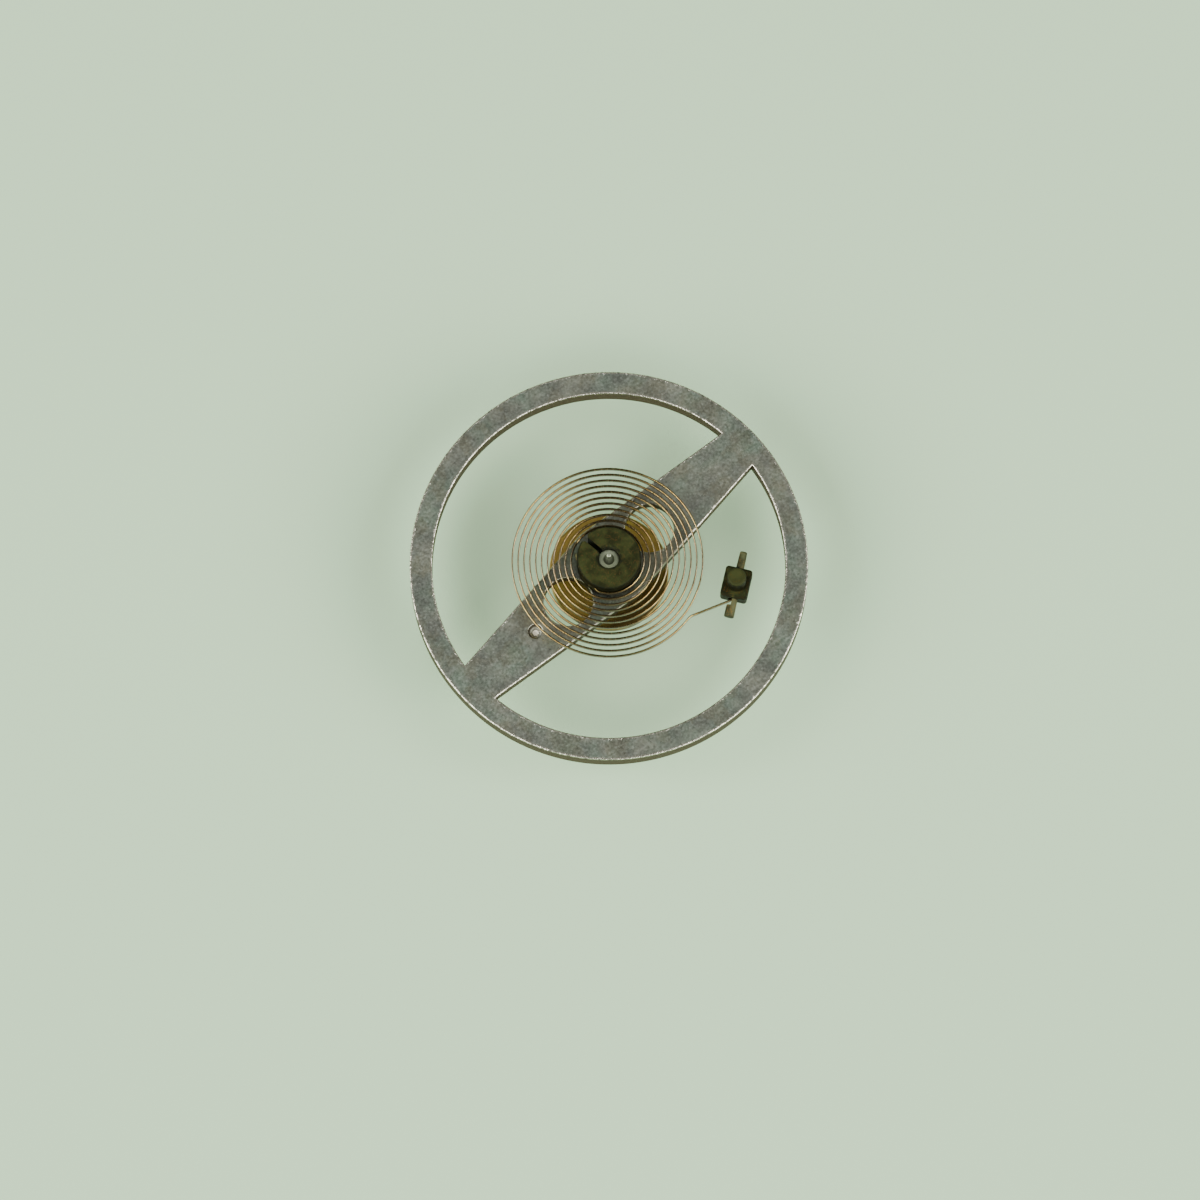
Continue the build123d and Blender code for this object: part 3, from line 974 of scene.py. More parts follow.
# %% [markdown]
# Two taper pins wedge the spring in its holes. Each pin is round and slightly conical, with a flat filed on
# the side that touches the strip. The flat comes from stopping the sections at one offset, so the pin stays
# one clean tube. Two sections at each end of the flat, a hair apart, make the step back to the full round.
# The collet's pin is flat from end to end, and the stud's only where the strip runs.

# %% Sections of a taper pin
pin_clearance = 0.01
pin_flat_gap = spring_thickness / 2 + pin_clearance
pin_end_break = 0.02
END_ALONG, END_SHRINK = 0.4, 0.3
PLAIN_SHARES = (0.04, 0.2, 0.4, 0.6, 0.8, 0.96)
FLAT_STEP = 0.002
# From before the thick end to beyond the thin one
WHOLE_LENGTH = (-1.0, 99.0)


def pin_stations(length, flat_from, flat_to):
    """Places along a pin, from its thick end: distance, shrink, wear and whether the flat is cut there."""
    near, shrink = pin_end_break * END_ALONG, pin_end_break * END_SHRINK
    stations = [(0.0, pin_end_break, 1.0), (near, shrink, 1.0)]
    stations += [(length * share, 0.0, 0.0) for share in PLAIN_SHARES]
    stations += [(length - near, shrink, 1.0), (length, pin_end_break, 1.0)]
    for edge in (flat_from, flat_to):
        if 0 < edge < length:
            stations += [(edge - FLAT_STEP, 0.0, 0.0), (edge + FLAT_STEP, 0.0, 0.0)]
    return [(*station, flat_from < station[0] < flat_to) for station in sorted(stations)]


def make_pin(centre, heading, length, radii, spring_offset, flat=WHOLE_LENGTH):
    """A pin whose thick end comes first along its heading, with its flat on the left beside the spring."""
    way, left = unit(heading), unit(heading + math.pi / 2)
    rows = []
    for along, shrink, wear, flatted in pin_stations(length, *flat):
        radius = radii[0] + (radii[1] - radii[0]) * along / length - shrink
        flat_at = spring_offset - pin_flat_gap if flatted else radius
        middle = centre + way * (along - length / 2)
        rows.append((level_circle(middle, left, radius, flat_at), wear))
    return tube(rows)


# %% The two taper pins
collet_pin_radii = (0.092, 0.080)
collet_pin_cut_back = 0.08
collet_pin_proud = 0.03
stud_pin_radii = (0.130, 0.093)
stud_pin_length = 1.71
stud_flat_lead_in = 0.12
stud_flat_run_out = 0.03
half_chord = math.sqrt(collet_radius**2 - (collet_chord + collet_spring_offset) ** 2)
pin_front, pin_back = half_chord - collet_pin_cut_back, half_chord + collet_pin_proud
collet_pin_centre = collet_hole_centre + unit(chord_heading) * (pin_front - pin_back) / 2
collet_pin_shape = make_pin(
    collet_pin_centre, chord_heading, pin_front + pin_back, collet_pin_radii, collet_spring_offset
)
collet_pin = place("inner_taper_pin", collet_pin_shape, "balance", "collet_pin")
stud_flat = (
    stud_pin_length / 2 - (stud_entry + stud_tangent + stud_flat_lead_in),
    stud_pin_length / 2 + stud_tangent_width / 2 + outer_tail + stud_flat_run_out,
)
stud_pin_shape = make_pin(
    stud_centre, stud_heading, stud_pin_length, stud_pin_radii, stud_spring_offset, stud_flat
)
stud_pin = place("outer_taper_pin", stud_pin_shape, "stud", "stud_pin")

# %% [markdown]
# The stud is a small block with a round post that the balance cock holds. The block is the same kind of
# plate as before, with a rounded rectangle for its outline. The post grows out of its top face, so both are
# one mesh, and only the cross hole is cut by a boolean.

# %% The stud
stud_corner_radius = 0.08
least_corner_radius = 0.004
stud_edge = 0.04
stud_block_height = 0.50
stud_post_radius = 0.235
stud_post_edge = 0.05
stud_hole_radius = 0.130
BLOCK_CORNER_STEPS = 8
POST_STEPS = 64


def block_outline(inset=0.0):
    """The block's rounded rectangle at its place, moved into the metal."""
    half_radial, half_tangent = stud_radial_width / 2 - inset, stud_tangent_width / 2 - inset
    corner = max(stud_corner_radius - inset, least_corner_radius)
    local = rounded_rectangle(half_radial, half_tangent, corner, BLOCK_CORNER_STEPS)
    return pairs(stud_centre + p * unit(stud_angle + stud_twist) for p in local)


def make_stud():
    """The block and its post as one closed mesh."""
    shape = Shape()
    block_top = stud_bottom + stud_block_height
    top_face, low_face = plate_wall(shape, block_outline, block_top, stud_bottom, stud_edge, stud_edge)
    post = disc_outline(stud_post_radius, POST_STEPS, (stud_centre.real, stud_centre.imag))
    post_foot = shape.ring(at(post(), block_top))
    post_face, post_wall = rounded_rim(shape, post, stud_post_top, stud_post_edge)
    shape.bridge(post_foot, post_wall)
    shape.fill(top_face, post_foot)
    shape.fill(low_face)
    shape.fill(post_face)
    return shape


stud_hole = rod(stud_centre, stud_heading, stud_hole_radius, 2 * stud_tangent_width)
stud_mesh = carved(make_stud().mesh("stud_block"), stud_hole.mesh("hole"))
stud = place("stud_block", stud_mesh, "stud", "stud")

# %% [markdown]
# The finishes are node materials. A short helper sets the sockets of a new node and links whatever is itself
# a socket, so that a material reads from top to bottom like a recipe. Colours are laid over each other as
# paint would be, each through its own mask.

# %% Helpers for nodes
def put(tree, kind, inputs=(), **settings):
    """Adds a shader node, sets its inputs by name or number, and links the ones given as sockets."""
    node = tree.nodes.new("ShaderNode" + kind)
    for name, value in settings.items():
        setattr(node, name, value)
    for key, value in dict(inputs).items():
        if isinstance(value, bpy.types.NodeSocket):
            tree.links.new(value, node.inputs[key])
        else:
            node.inputs[key].default_value = value
    return node


def maths(tree, operation, first, second=0.0):
    """One step of arithmetic."""
    return put(tree, "Math", {0: first, 1: second}, operation=operation).outputs[0]


def ranged(tree, value, low, high, to_low=0.0, to_high=1.0):
    """A value moved from one range to another and kept inside it."""
    inputs = {"Value": value, "From Min": low, "From Max": high, "To Min": to_low, "To Max": to_high}
    return put(tree, "MapRange", inputs).outputs[0]


def faded(tree, mask, most):
    """A mask weakened to a share of its strength."""
    return ranged(tree, mask, 0.0, 1.0, 0.0, most)


def rgba(colour):
    """A plain colour with full alpha. A socket stays as it is."""
    return (*colour, 1.0) if isinstance(colour, tuple) else colour


def mixed(tree, share, first, second):
    """A colour between two, by a share."""
    inputs = {0: share, 6: rgba(first), 7: rgba(second)}
    return put(tree, "Mix", inputs, data_type="RGBA").outputs[2]


def layered(tree, colour, *layers):
    """A colour with others laid over it, each through its own mask."""
    for mask, over in layers:
        colour = mixed(tree, mask, colour, over)
    return colour


def mixed_value(tree, share, first, second):
    """A value between two, by a share."""
    return put(tree, "Mix", {0: share, 2: first, 3: second}).outputs[0]


# %% What a material can read from the surface
def spot(tree):
    """The place on the object, in millimetres."""
    place_in_metres = put(tree, "TexCoord").outputs["Object"]
    return put(tree, "VectorMath", {0: place_in_metres, "Scale": 1 / MM}, operation="SCALE").outputs[0]


def split(tree, vector):
    """The three parts of a vector."""
    return put(tree, "SeparateXYZ", {0: vector}).outputs


def steepness(tree):
    """1 where the surface faces straight up or down and 0 where it is upright."""
    return maths(tree, "ABSOLUTE", split(tree, put(tree, "TexCoord").outputs["Normal"])[2])


def carried(tree, name):
    """A number that the mesh carries on its points."""
    return put(tree, "Attribute", attribute_name=name).outputs["Fac"]


def noise(tree, dimensions, **inputs):
    """The value of a noise."""
    return put(tree, "TexNoise", inputs, noise_dimensions=dimensions).outputs["Fac"]


def bumped(tree, height, depth):
    """A normal from a height, with a depth in millimetres."""
    return put(tree, "Bump", {"Height": height, "Distance": depth * MM, "Strength": 1.0}).outputs[0]


# %% [markdown]
# Four effects are used by more than one material, so each is a node group, built once. Clouds give the soft
# blotches that old plating and tarnish have. Scratches are noise stretched along three directions. Edge wear
# reads the mask that the meshes carry and breaks it up with noise, because handling never polishes an edge
# evenly. Turned rings are noise over the radius and the height, as a lathe tool leaves its grooves.

# %% Shared effects
FLOAT = "NodeSocketFloat"
SCRATCH_WAYS = ((0.3, 1.0), (1.4, 5.0), (2.5, 9.0))
SCRATCH_STRETCH = (0.08, 1.0, 1.0)
SCRATCH_FROM, SCRATCH_TO = 0.56, 0.66
FINER_CLOUDS = 9.0
LEAST_WEAR_ADDED, MOST_WEAR_ADDED = -0.65, 0.3
WORN_FROM, WORN_TO = 0.3, 0.8


def new_group(name, takes, gives):
    """An empty shader node group with named values, and the sockets to read and to feed inside it."""
    group = bpy.data.node_groups.new(name, "ShaderNodeTree")
    for label, value in takes.items():
        group.interface.new_socket(label, in_out="INPUT", socket_type=FLOAT).default_value = value
    for label in gives:
        group.interface.new_socket(label, in_out="OUTPUT", socket_type=FLOAT)
    return group, group.nodes.new("NodeGroupInput").outputs, group.nodes.new("NodeGroupOutput").inputs


def clouds_group():
    """Two soft noises at one place, the broad one sharpened into a mask."""
    takes = {"Scale": 1.0, "Contrast": 0.2, "Seed": 0.0}
    group, given, out = new_group("clouds", takes, ("Mask", "Fine"))
    where = {"Vector": spot(group), "W": given["Seed"]}
    broad = noise(group, "4D", **where, Scale=given["Scale"], Detail=5.0)
    closer = maths(group, "MULTIPLY", given["Scale"], FINER_CLOUDS)
    fine = noise(group, "4D", **where, Scale=closer, Detail=4.0)
    low = maths(group, "SUBTRACT", 0.5, given["Contrast"])
    high = maths(group, "ADD", 0.5, given["Contrast"])
    group.links.new(ranged(group, broad, low, high), out["Mask"])
    group.links.new(fine, out["Fine"])
    return group


def scratches_group():
    """Fine lines in three directions, as a height."""
    group, given, out = new_group("scratches", {"Scale": 4.0, "Depth": 1.0}, ("Height",))
    where = spot(group)
    total = None
    for turn, seed in SCRATCH_WAYS:
        laid = put(group, "Mapping", {"Vector": where, "Rotation": (0, 0, turn), "Scale": SCRATCH_STRETCH})
        line = noise(group, "4D", Vector=laid.outputs[0], W=seed, Scale=given["Scale"], Detail=3.0)
        sharp = ranged(group, line, SCRATCH_FROM, SCRATCH_TO)
        total = sharp if total is None else maths(group, "ADD", total, sharp)
    group.links.new(maths(group, "MULTIPLY", total, given["Depth"]), out["Height"])
    return group


def edge_wear_group():
    """The mesh's wear mask, broken up by noise."""
    group, given, out = new_group("edge wear", {"Amount": 1.0, "Scale": 9.0}, ("Mask",))
    patches = noise(group, "3D", Vector=spot(group), Scale=given["Scale"], Detail=4.0)
    patchy = ranged(group, patches, 0.35, 0.65, LEAST_WEAR_ADDED, MOST_WEAR_ADDED)
    worn = ranged(group, maths(group, "ADD", carried(group, "wear"), patchy), WORN_FROM, WORN_TO)
    group.links.new(maths(group, "MULTIPLY", worn, given["Amount"]), out["Mask"])
    return group


def turned_rings_group():
    """Fine grooves round the staff's axis, as a lathe tool leaves them, as a height."""
    group, given, out = new_group("turned rings", {"Pitch": 0.02}, ("Height",))
    x, y, z = split(group, spot(group))
    squares = maths(group, "ADD", maths(group, "POWER", x, 2), maths(group, "POWER", y, 2))
    along = maths(group, "ADD", maths(group, "SQRT", squares), z)
    count = maths(group, "DIVIDE", along, given["Pitch"])
    group.links.new(noise(group, "1D", W=count, Scale=1.0, Detail=2.0), out["Height"])
    return group


clouds, scratches = clouds_group(), scratches_group()
edge_wear, turned_rings = edge_wear_group(), turned_rings_group()
print("shared effects:", ", ".join(g.name for g in bpy.data.node_groups))


# %% Helpers for materials
# Most values of a noise lie between these two
NOISE_MOSTLY = (0.3, 0.7)
# How steep a surface has to be to start, and to be in full, a wall
WALL_FROM, WALL_TO = 0.25, 0.12
WEAR_ON_WALLS = 0.1


def effect(tree, group, **values):
    """Places a shared effect in a material with its own values."""
    node = tree.nodes.new("ShaderNodeGroup")
    node.node_tree = group
    for name, value in values.items():
        node.inputs[name].default_value = value
    return node.outputs


def new_material(name, **values):
    """A material with one Principled shader, its constants set on the shader's own sockets."""
    material = bpy.data.materials.new(name)
    material.use_nodes = True
    tree = material.node_tree
    shader = tree.nodes["Principled BSDF"]
    for label, value in values.items():
        shader.inputs[label.replace("_", " ")].default_value = value
    return material, tree, shader


def wire(tree, shader, **sockets):
    """Links sockets to the shader's inputs by name."""
    for label, socket in sockets.items():
        tree.links.new(socket, shader.inputs[label.replace("_", " ")])


def dress(slot, material, *worn):
    """Gives a material to pieces and prints the record's slot name beside them."""
    for piece in worn:
        piece.data.materials.clear()
        piece.data.materials.append(material)
    print(f"{slot}: {len(material.node_tree.nodes)} nodes, on", ", ".join(piece.name for piece in worn))


def wall_mask(tree):
    """1 on upright walls and 0 on level faces."""
    return ranged(tree, steepness(tree), WALL_FROM, WALL_TO)


def edge_only(tree, worn, wall):
    """The wear without what reaches the upright walls beside an edge."""
    return maths(tree, "MULTIPLY", worn, ranged(tree, wall, 0.0, 1.0, 1.0, WEAR_ON_WALLS))


# %% [markdown]
# Nickel plating on the wheel is satin grey with soft greenish and brownish clouds. It is thin: on the walls
# of the rim dull brass shows through, with the lathe's grooves, and that brass is painted very dark as shade.
# The broken edges are bright where handling has polished them and dark with grime where it hasn't. One flat
# grey metal would look like plain plastic here, so clouds of several sizes lie over each other.

# %% Nickelled brass
NICKEL = {
    "greenish": (0.45, 0.57, 0.44),
    "warm": (0.595, 0.605, 0.48),
    "dull cloud": (0.30, 0.30, 0.27),
    "brown stain": (0.36, 0.32, 0.19),
    "bright speck": (0.80, 0.88, 0.77),
    "dark speck": (0.21, 0.21, 0.18),
    "scratch": (0.78, 0.80, 0.74),
    "worn edge": (0.80, 0.76, 0.62),
    # Dark grime on unworn edges, and painted shade in the pit
    "grime_and_shade": (0.09, 0.08, 0.055),
    # A painted highlight
    "painted_highlight": (0.95, 0.90, 0.74),
}
# Dull brass of the walls, painted very dark as the shade they stand in
SHADED_WALL = {
    "land": (0.095, 0.066, 0.033),
    "groove": (0.044, 0.031, 0.016),
    "tarnish": (0.04, 0.032, 0.018),
}
# The wear at which each of these starts and is in full: painted highlight, painted shade in the pit, grime
HIGHLIGHT_WEAR = (1.1, 1.6)
SHADE_WEAR = (-0.1, -0.7)
GRIME_WEAR = (0.3, 0.9)


def nickel_material():
    """Satin nickel: clouds, specks, bright edges, walls painted dark as shade, painted light on pit and edge.
    """
    material, tree, shader = new_material("nickelled brass", Specular_IOR_Level=0.1)
    broad = effect(tree, clouds, Scale=1.2, Contrast=0.10, Seed=2.0)["Mask"]
    middle = effect(tree, clouds, Scale=1.9, Contrast=0.15, Seed=8.0)
    small = effect(tree, clouds, Scale=17.0, Contrast=0.16, Seed=15.0)["Mask"]
    stain = effect(tree, clouds, Scale=1.7, Contrast=0.07, Seed=31.0)["Mask"]
    lathe = effect(tree, turned_rings, Pitch=0.03)["Height"]
    marks = effect(tree, scratches, Scale=5.0, Depth=1.0)["Height"]
    wall = wall_mask(tree)
    worn = edge_only(tree, effect(tree, edge_wear, Amount=1.0, Scale=9.0)["Mask"], wall)
    wear = carried(tree, "wear")
    # Wear above 1 paints a highlight and below 0 paints shade; grime lies on edges that aren't worn
    painted_highlight, pit_shade = ranged(tree, wear, *HIGHLIGHT_WEAR), ranged(tree, wear, *SHADE_WEAR)
    grime_and_shade = maths(tree, "SUBTRACT", ranged(tree, wear, *GRIME_WEAR), worn)
    grime_and_shade = maths(tree, "MAXIMUM", faded(tree, grime_and_shade, 0.85), pit_shade)
    brass = layered(
        tree,
        SHADED_WALL["land"],
        (ranged(tree, lathe, 0.35, 0.65), SHADED_WALL["groove"]),
        (faded(tree, small, 0.4), SHADED_WALL["tarnish"]),
    )
    colour = layered(
        tree,
        NICKEL["greenish"],
        (broad, NICKEL["warm"]),
        (faded(tree, middle["Mask"], 0.8), NICKEL["dull cloud"]),
        (ranged(tree, stain, 0.6, 1.0, 0.0, 0.3), NICKEL["brown stain"]),
        (ranged(tree, small, 0.5, 1.0, 0.0, 0.28), NICKEL["bright speck"]),
        (ranged(tree, small, 0.5, 0.0, 0.0, 0.34), NICKEL["dark speck"]),
        (faded(tree, marks, 0.10), NICKEL["scratch"]),
        # The walls' dull brass, painted very dark as shade
        (wall, brass),
        (worn, NICKEL["worn edge"]),
        (grime_and_shade, NICKEL["grime_and_shade"]),
        (painted_highlight, NICKEL["painted_highlight"]),
    )
    rough = ranged(tree, middle["Fine"], *NOISE_MOSTLY, 0.26, 0.40)
    for mask, roughness in ((wall, 0.6), (worn, 0.2), (grime_and_shade, 0.6), (painted_highlight, 0.65)):
        rough = mixed_value(tree, mask, rough, roughness)
    metal = maths(tree, "MAXIMUM", ranged(tree, wall, 0.0, 1.0, 1.0, 0.25), worn)
    scratched, satin = maths(tree, "MULTIPLY", marks, 0.5), maths(tree, "MULTIPLY", middle["Fine"], 3.0)
    dents = maths(tree, "MULTIPLY", maths(tree, "MULTIPLY", small, worn), 3.0)
    height = maths(tree, "ADD", maths(tree, "ADD", scratched, satin), dents)
    wire(tree, shader, Base_Color=colour, Metallic=metal, Roughness=rough)
    wire(tree, shader, Normal=bumped(tree, height, depth=0.002))
    return material


dress("nickelled_brass", nickel_material(), wheel)

# %% [markdown]
# Steel for the staff is polished, with the faint rings of the lathe. Brass for the rollers is yellow with
# brown tarnish; one side is painted dark as the shadow of the wheel's arm, and the walls are painted darker
# as shade. The rings could be cut into the shape, but they are finer than its facets and do no more than
# catch the light, so they are a bump.

# %% Steel and roller brass
STEEL = {"clean": (0.58, 0.64, 0.46), "dull": (0.44, 0.48, 0.33)}
ROLLER = {
    "yellow": (0.92, 0.65, 0.18),
    "brown": (0.62, 0.42, 0.11),
    "painted shadow": (0.12, 0.08, 0.025),
    "wall": (0.16, 0.11, 0.035),
    "worn edge": (0.42, 0.30, 0.11),
}
SHADOW_SIDE = (0.0, -1.0, 0.0)
# Millimetres from the axis, towards the painted shadow, where the painted shadow starts and is in full
SHADOW_REACH = (0.6, 1.1)


def reach_along(tree, vector, way):
    """How far a vector reaches along a direction."""
    return put(tree, "VectorMath", {0: vector, 1: way}, operation="DOT_PRODUCT").outputs["Value"]


def steel_material():
    """Polished steel with turning marks."""
    material, tree, shader = new_material("polished steel", Metallic=1.0)
    rings = effect(tree, turned_rings, Pitch=0.012)["Height"]
    spots = effect(tree, clouds, Scale=4.0, Contrast=0.2, Seed=11.0)
    colour = mixed(tree, spots["Mask"], STEEL["clean"], STEEL["dull"])
    rough = ranged(tree, spots["Fine"], *NOISE_MOSTLY, 0.38, 0.5)
    wire(tree, shader, Base_Color=colour, Roughness=rough, Normal=bumped(tree, rings, depth=0.0012))
    return material


def roller_brass_material():
    """Turned brass with brown tarnish, a painted shadow on one side and painted shade on its walls."""
    material, tree, shader = new_material("roller brass", Metallic=1.0)
    rings = effect(tree, turned_rings, Pitch=0.03)["Height"]
    tarnish = effect(tree, clouds, Scale=1.6, Contrast=0.18, Seed=4.0)
    wall = wall_mask(tree)
    worn = edge_only(tree, effect(tree, edge_wear, Amount=0.8, Scale=8.0)["Mask"], wall)
    # Painted shadow of the wheel's arm on one side of the table
    dark = ranged(tree, reach_along(tree, spot(tree), SHADOW_SIDE), *SHADOW_REACH, 0.0, 0.9)
    colour = layered(
        tree,
        ROLLER["yellow"],
        (tarnish["Mask"], ROLLER["brown"]),
        (dark, ROLLER["painted shadow"]),
        # Walls painted darker, as shade
        (wall, ROLLER["wall"]),
        (worn, ROLLER["worn edge"]),
    )
    rough = ranged(tree, tarnish["Fine"], *NOISE_MOSTLY, 0.34, 0.5)
    wire(tree, shader, Base_Color=colour, Roughness=rough, Normal=bumped(tree, rings, depth=0.002))
    return material


dress("polished_steel", steel_material(), staff)
dress("roller_brass", roller_brass_material(), table, safety)

# %% [markdown]
# Ruby is clear and deep pink, so its shader lets most light through and bends it as corundum does. Shellac
# is a brown resin with a gloss of its own, which a thin coat over an amber base gives.

# %% Ruby and shellac
RUBY = {"pink": (0.72, 0.03, 0.10), "deep": (0.55, 0.02, 0.07)}
SHELLAC = {"amber": (0.34, 0.13, 0.03), "brown": (0.16, 0.06, 0.015)}


def ruby_material():
    """Clear red corundum with a faint unevenness of its polish."""
    material, tree, shader = new_material("ruby", Roughness=0.04, IOR=1.77, Transmission_Weight=0.75)
    veil = effect(tree, clouds, Scale=6.0, Contrast=0.25, Seed=3.0)
    colour = mixed(tree, veil["Mask"], RUBY["pink"], RUBY["deep"])
    wire(tree, shader, Base_Color=colour, Normal=bumped(tree, veil["Fine"], depth=0.0006))
    return material


def shellac_material():
    """Amber brown resin under its own gloss."""
    material, tree, shader = new_material("shellac", Coat_Weight=0.5, Coat_Roughness=0.08)
    depth = effect(tree, clouds, Scale=7.0, Contrast=0.2, Seed=6.0)
    colour = mixed(tree, depth["Mask"], SHELLAC["amber"], SHELLAC["brown"])
    rough = ranged(tree, depth["Fine"], *NOISE_MOSTLY, 0.18, 0.35)
    wire(tree, shader, Base_Color=colour, Roughness=rough, Normal=bumped(tree, depth["Fine"], depth=0.004))
    return material


dress("ruby", ruby_material(), jewel)
dress("shellac", shellac_material(), shellac)

# %% [markdown]
# The collet and the stud are brass that has gone dark olive, almost black. A metal shader with a very dark
# colour would look like coal, so the tarnish is a film: hardly metallic, rough, with amber showing through
# in spots. It is thickest on the edges. The post's top has been rubbed a little paler. The pins have the
# same film, but thinner. On all of them the upright walls are painted nearly black as shade.

# %% Tarnished brass
# Nearly black, painted on the upright walls as shade
WALL_SHADE = (0.003, 0.003, 0.002)
RUBBED_FILM = (0.046, 0.053, 0.016)
RUBBED_DEPTH = 0.04


def tarnished_material(name, seed, film, under, glow, edge, rubbed_above=None):
    """Dark olive tarnish over brass, thin in spots and thick on edges, with walls painted dark as shade."""
    material, tree, shader = new_material(name, Specular_IOR_Level=0.06)
    patches = effect(tree, clouds, Scale=3.0, Contrast=0.08, Seed=seed)
    spots = effect(tree, clouds, Scale=9.0, Contrast=0.12, Seed=seed + 5.0)
    worn = effect(tree, edge_wear, Amount=0.8, Scale=8.0)["Mask"]
    marks = effect(tree, scratches, Scale=8.0, Depth=1.0)["Height"]
    wall = wall_mask(tree)
    bare = maths(tree, "MULTIPLY", spots["Mask"], ranged(tree, patches["Fine"], 0.5, 0.75))
    bare = maths(tree, "MULTIPLY", bare, ranged(tree, wall, 0.0, 1.0, 1.0, 0.4))
    # Walls painted nearly black as shade
    colour = layered(
        tree, film, (patches["Mask"], under), (faded(tree, wall, 0.75), WALL_SHADE), (bare, glow), (worn, edge)
    )
    if rubbed_above is not None:
        level = split(tree, spot(tree))[2]
        rubbed = ranged(tree, level, rubbed_above, rubbed_above + RUBBED_DEPTH / 2, 0.0, 0.6)
        colour = mixed(tree, rubbed, colour, RUBBED_FILM)
    metal = ranged(tree, bare, 0.0, 1.0, 0.05, 0.9)
    rough = ranged(tree, patches["Fine"], *NOISE_MOSTLY, 0.4, 0.58)
    height = maths(tree, "ADD", marks, maths(tree, "MULTIPLY", spots["Fine"], 1.5))
    wire(tree, shader, Base_Color=colour, Metallic=metal, Roughness=rough)
    wire(tree, shader, Normal=bumped(tree, height, depth=0.003))
    return material


collet_finish = tarnished_material(
    "tarnished brass",
    seed=1.0,
    film=(0.034, 0.041, 0.012),
    under=(0.016, 0.019, 0.006),
    glow=(0.10, 0.06, 0.020),
    edge=(0.008, 0.010, 0.005),
)
stud_finish = tarnished_material(
    "stud metal",
    seed=13.0,
    film=(0.030, 0.037, 0.011),
    under=(0.011, 0.014, 0.005),
    glow=(0.17, 0.075, 0.012),
    edge=(0.012, 0.013, 0.005),
    rubbed_above=stud_post_top - RUBBED_DEPTH,
)
pin_finish = tarnished_material(
    "pin brass",
    seed=21.0,
    film=(0.096, 0.103, 0.047),
    under=(0.037, 0.042, 0.019),
    glow=(0.34, 0.18, 0.04),
    edge=(0.03, 0.03, 0.012),
)
dress("tarnished_brass", collet_finish, collet)
dress("stud_metal", stud_finish, stud)
dress("pin_brass", pin_finish, collet_pin, stud_pin)

# %% [markdown]
# The hairspring's alloy takes a straw to copper colour in the oven that fixes its shape. The tint wanders
# along the strip, so it follows the length that the mesh carries and stays put when the spring winds. Light
# and shade are painted in as well: the spiral is painted dark as shade on two opposite sides and pale as a
# highlight on the sides between, by a mask from the heading round the staff. The straight end is darker.

# %% Spring alloy
SPRING = {
    "olive face": (0.10, 0.08, 0.032),
    "brown face": (0.15, 0.11, 0.045),
    "rolled line": (0.05, 0.038, 0.016),
    "copper corner": (0.74, 0.47, 0.16),
    "straw corner": (0.90, 0.69, 0.26),
    "highlight corner": (0.88, 0.76, 0.56),
    "dark corner": (0.12, 0.085, 0.03),
    "spark": (0.16, 0.10, 0.04),
}
# The direction round the staff along which the spiral is painted dark as shade
SHADED_WAY = (0.68, 0.73, 0.0)
LEVEL_ONLY = (1.0, 1.0, 0.0)
# The mask's values between which the spiral is painted dark as shade, and those where it is painted pale as a
# highlight
SHADED_SIDES, LIT_SIDES = (0.70, 0.92), (0.5, 0.1)
# The steepness between which a corner starts, above the strip's sides and beside its flat top
CORNER_TO_SIDE, CORNER_TO_TOP = (0.5, 0.72), (0.995, 0.95)
TINTS_ALONG = 260.0
SPARKS_ALONG = 2600.0
ROLLED_LINES = 60.0
STRAIGHT_FROM = 0.985
STRAIGHT_BLEND = 0.001


def corner_mask(tree):
    """1 on the strip's round corners, which face neither straight up nor sideways."""
    up = steepness(tree)
    return maths(tree, "MULTIPLY", ranged(tree, up, *CORNER_TO_SIDE), ranged(tree, up, *CORNER_TO_TOP))


def off_side(tree):
    """1 where the strip's place round the staff lies along the direction of painted shade, and 0 across it.
    """
    flat = put(tree, "VectorMath", {0: spot(tree), 1: LEVEL_ONLY}, operation="MULTIPLY").outputs[0]
    heading = put(tree, "VectorMath", {0: flat}, operation="NORMALIZE").outputs[0]
    return maths(tree, "ABSOLUTE", reach_along(tree, heading, SHADED_WAY))


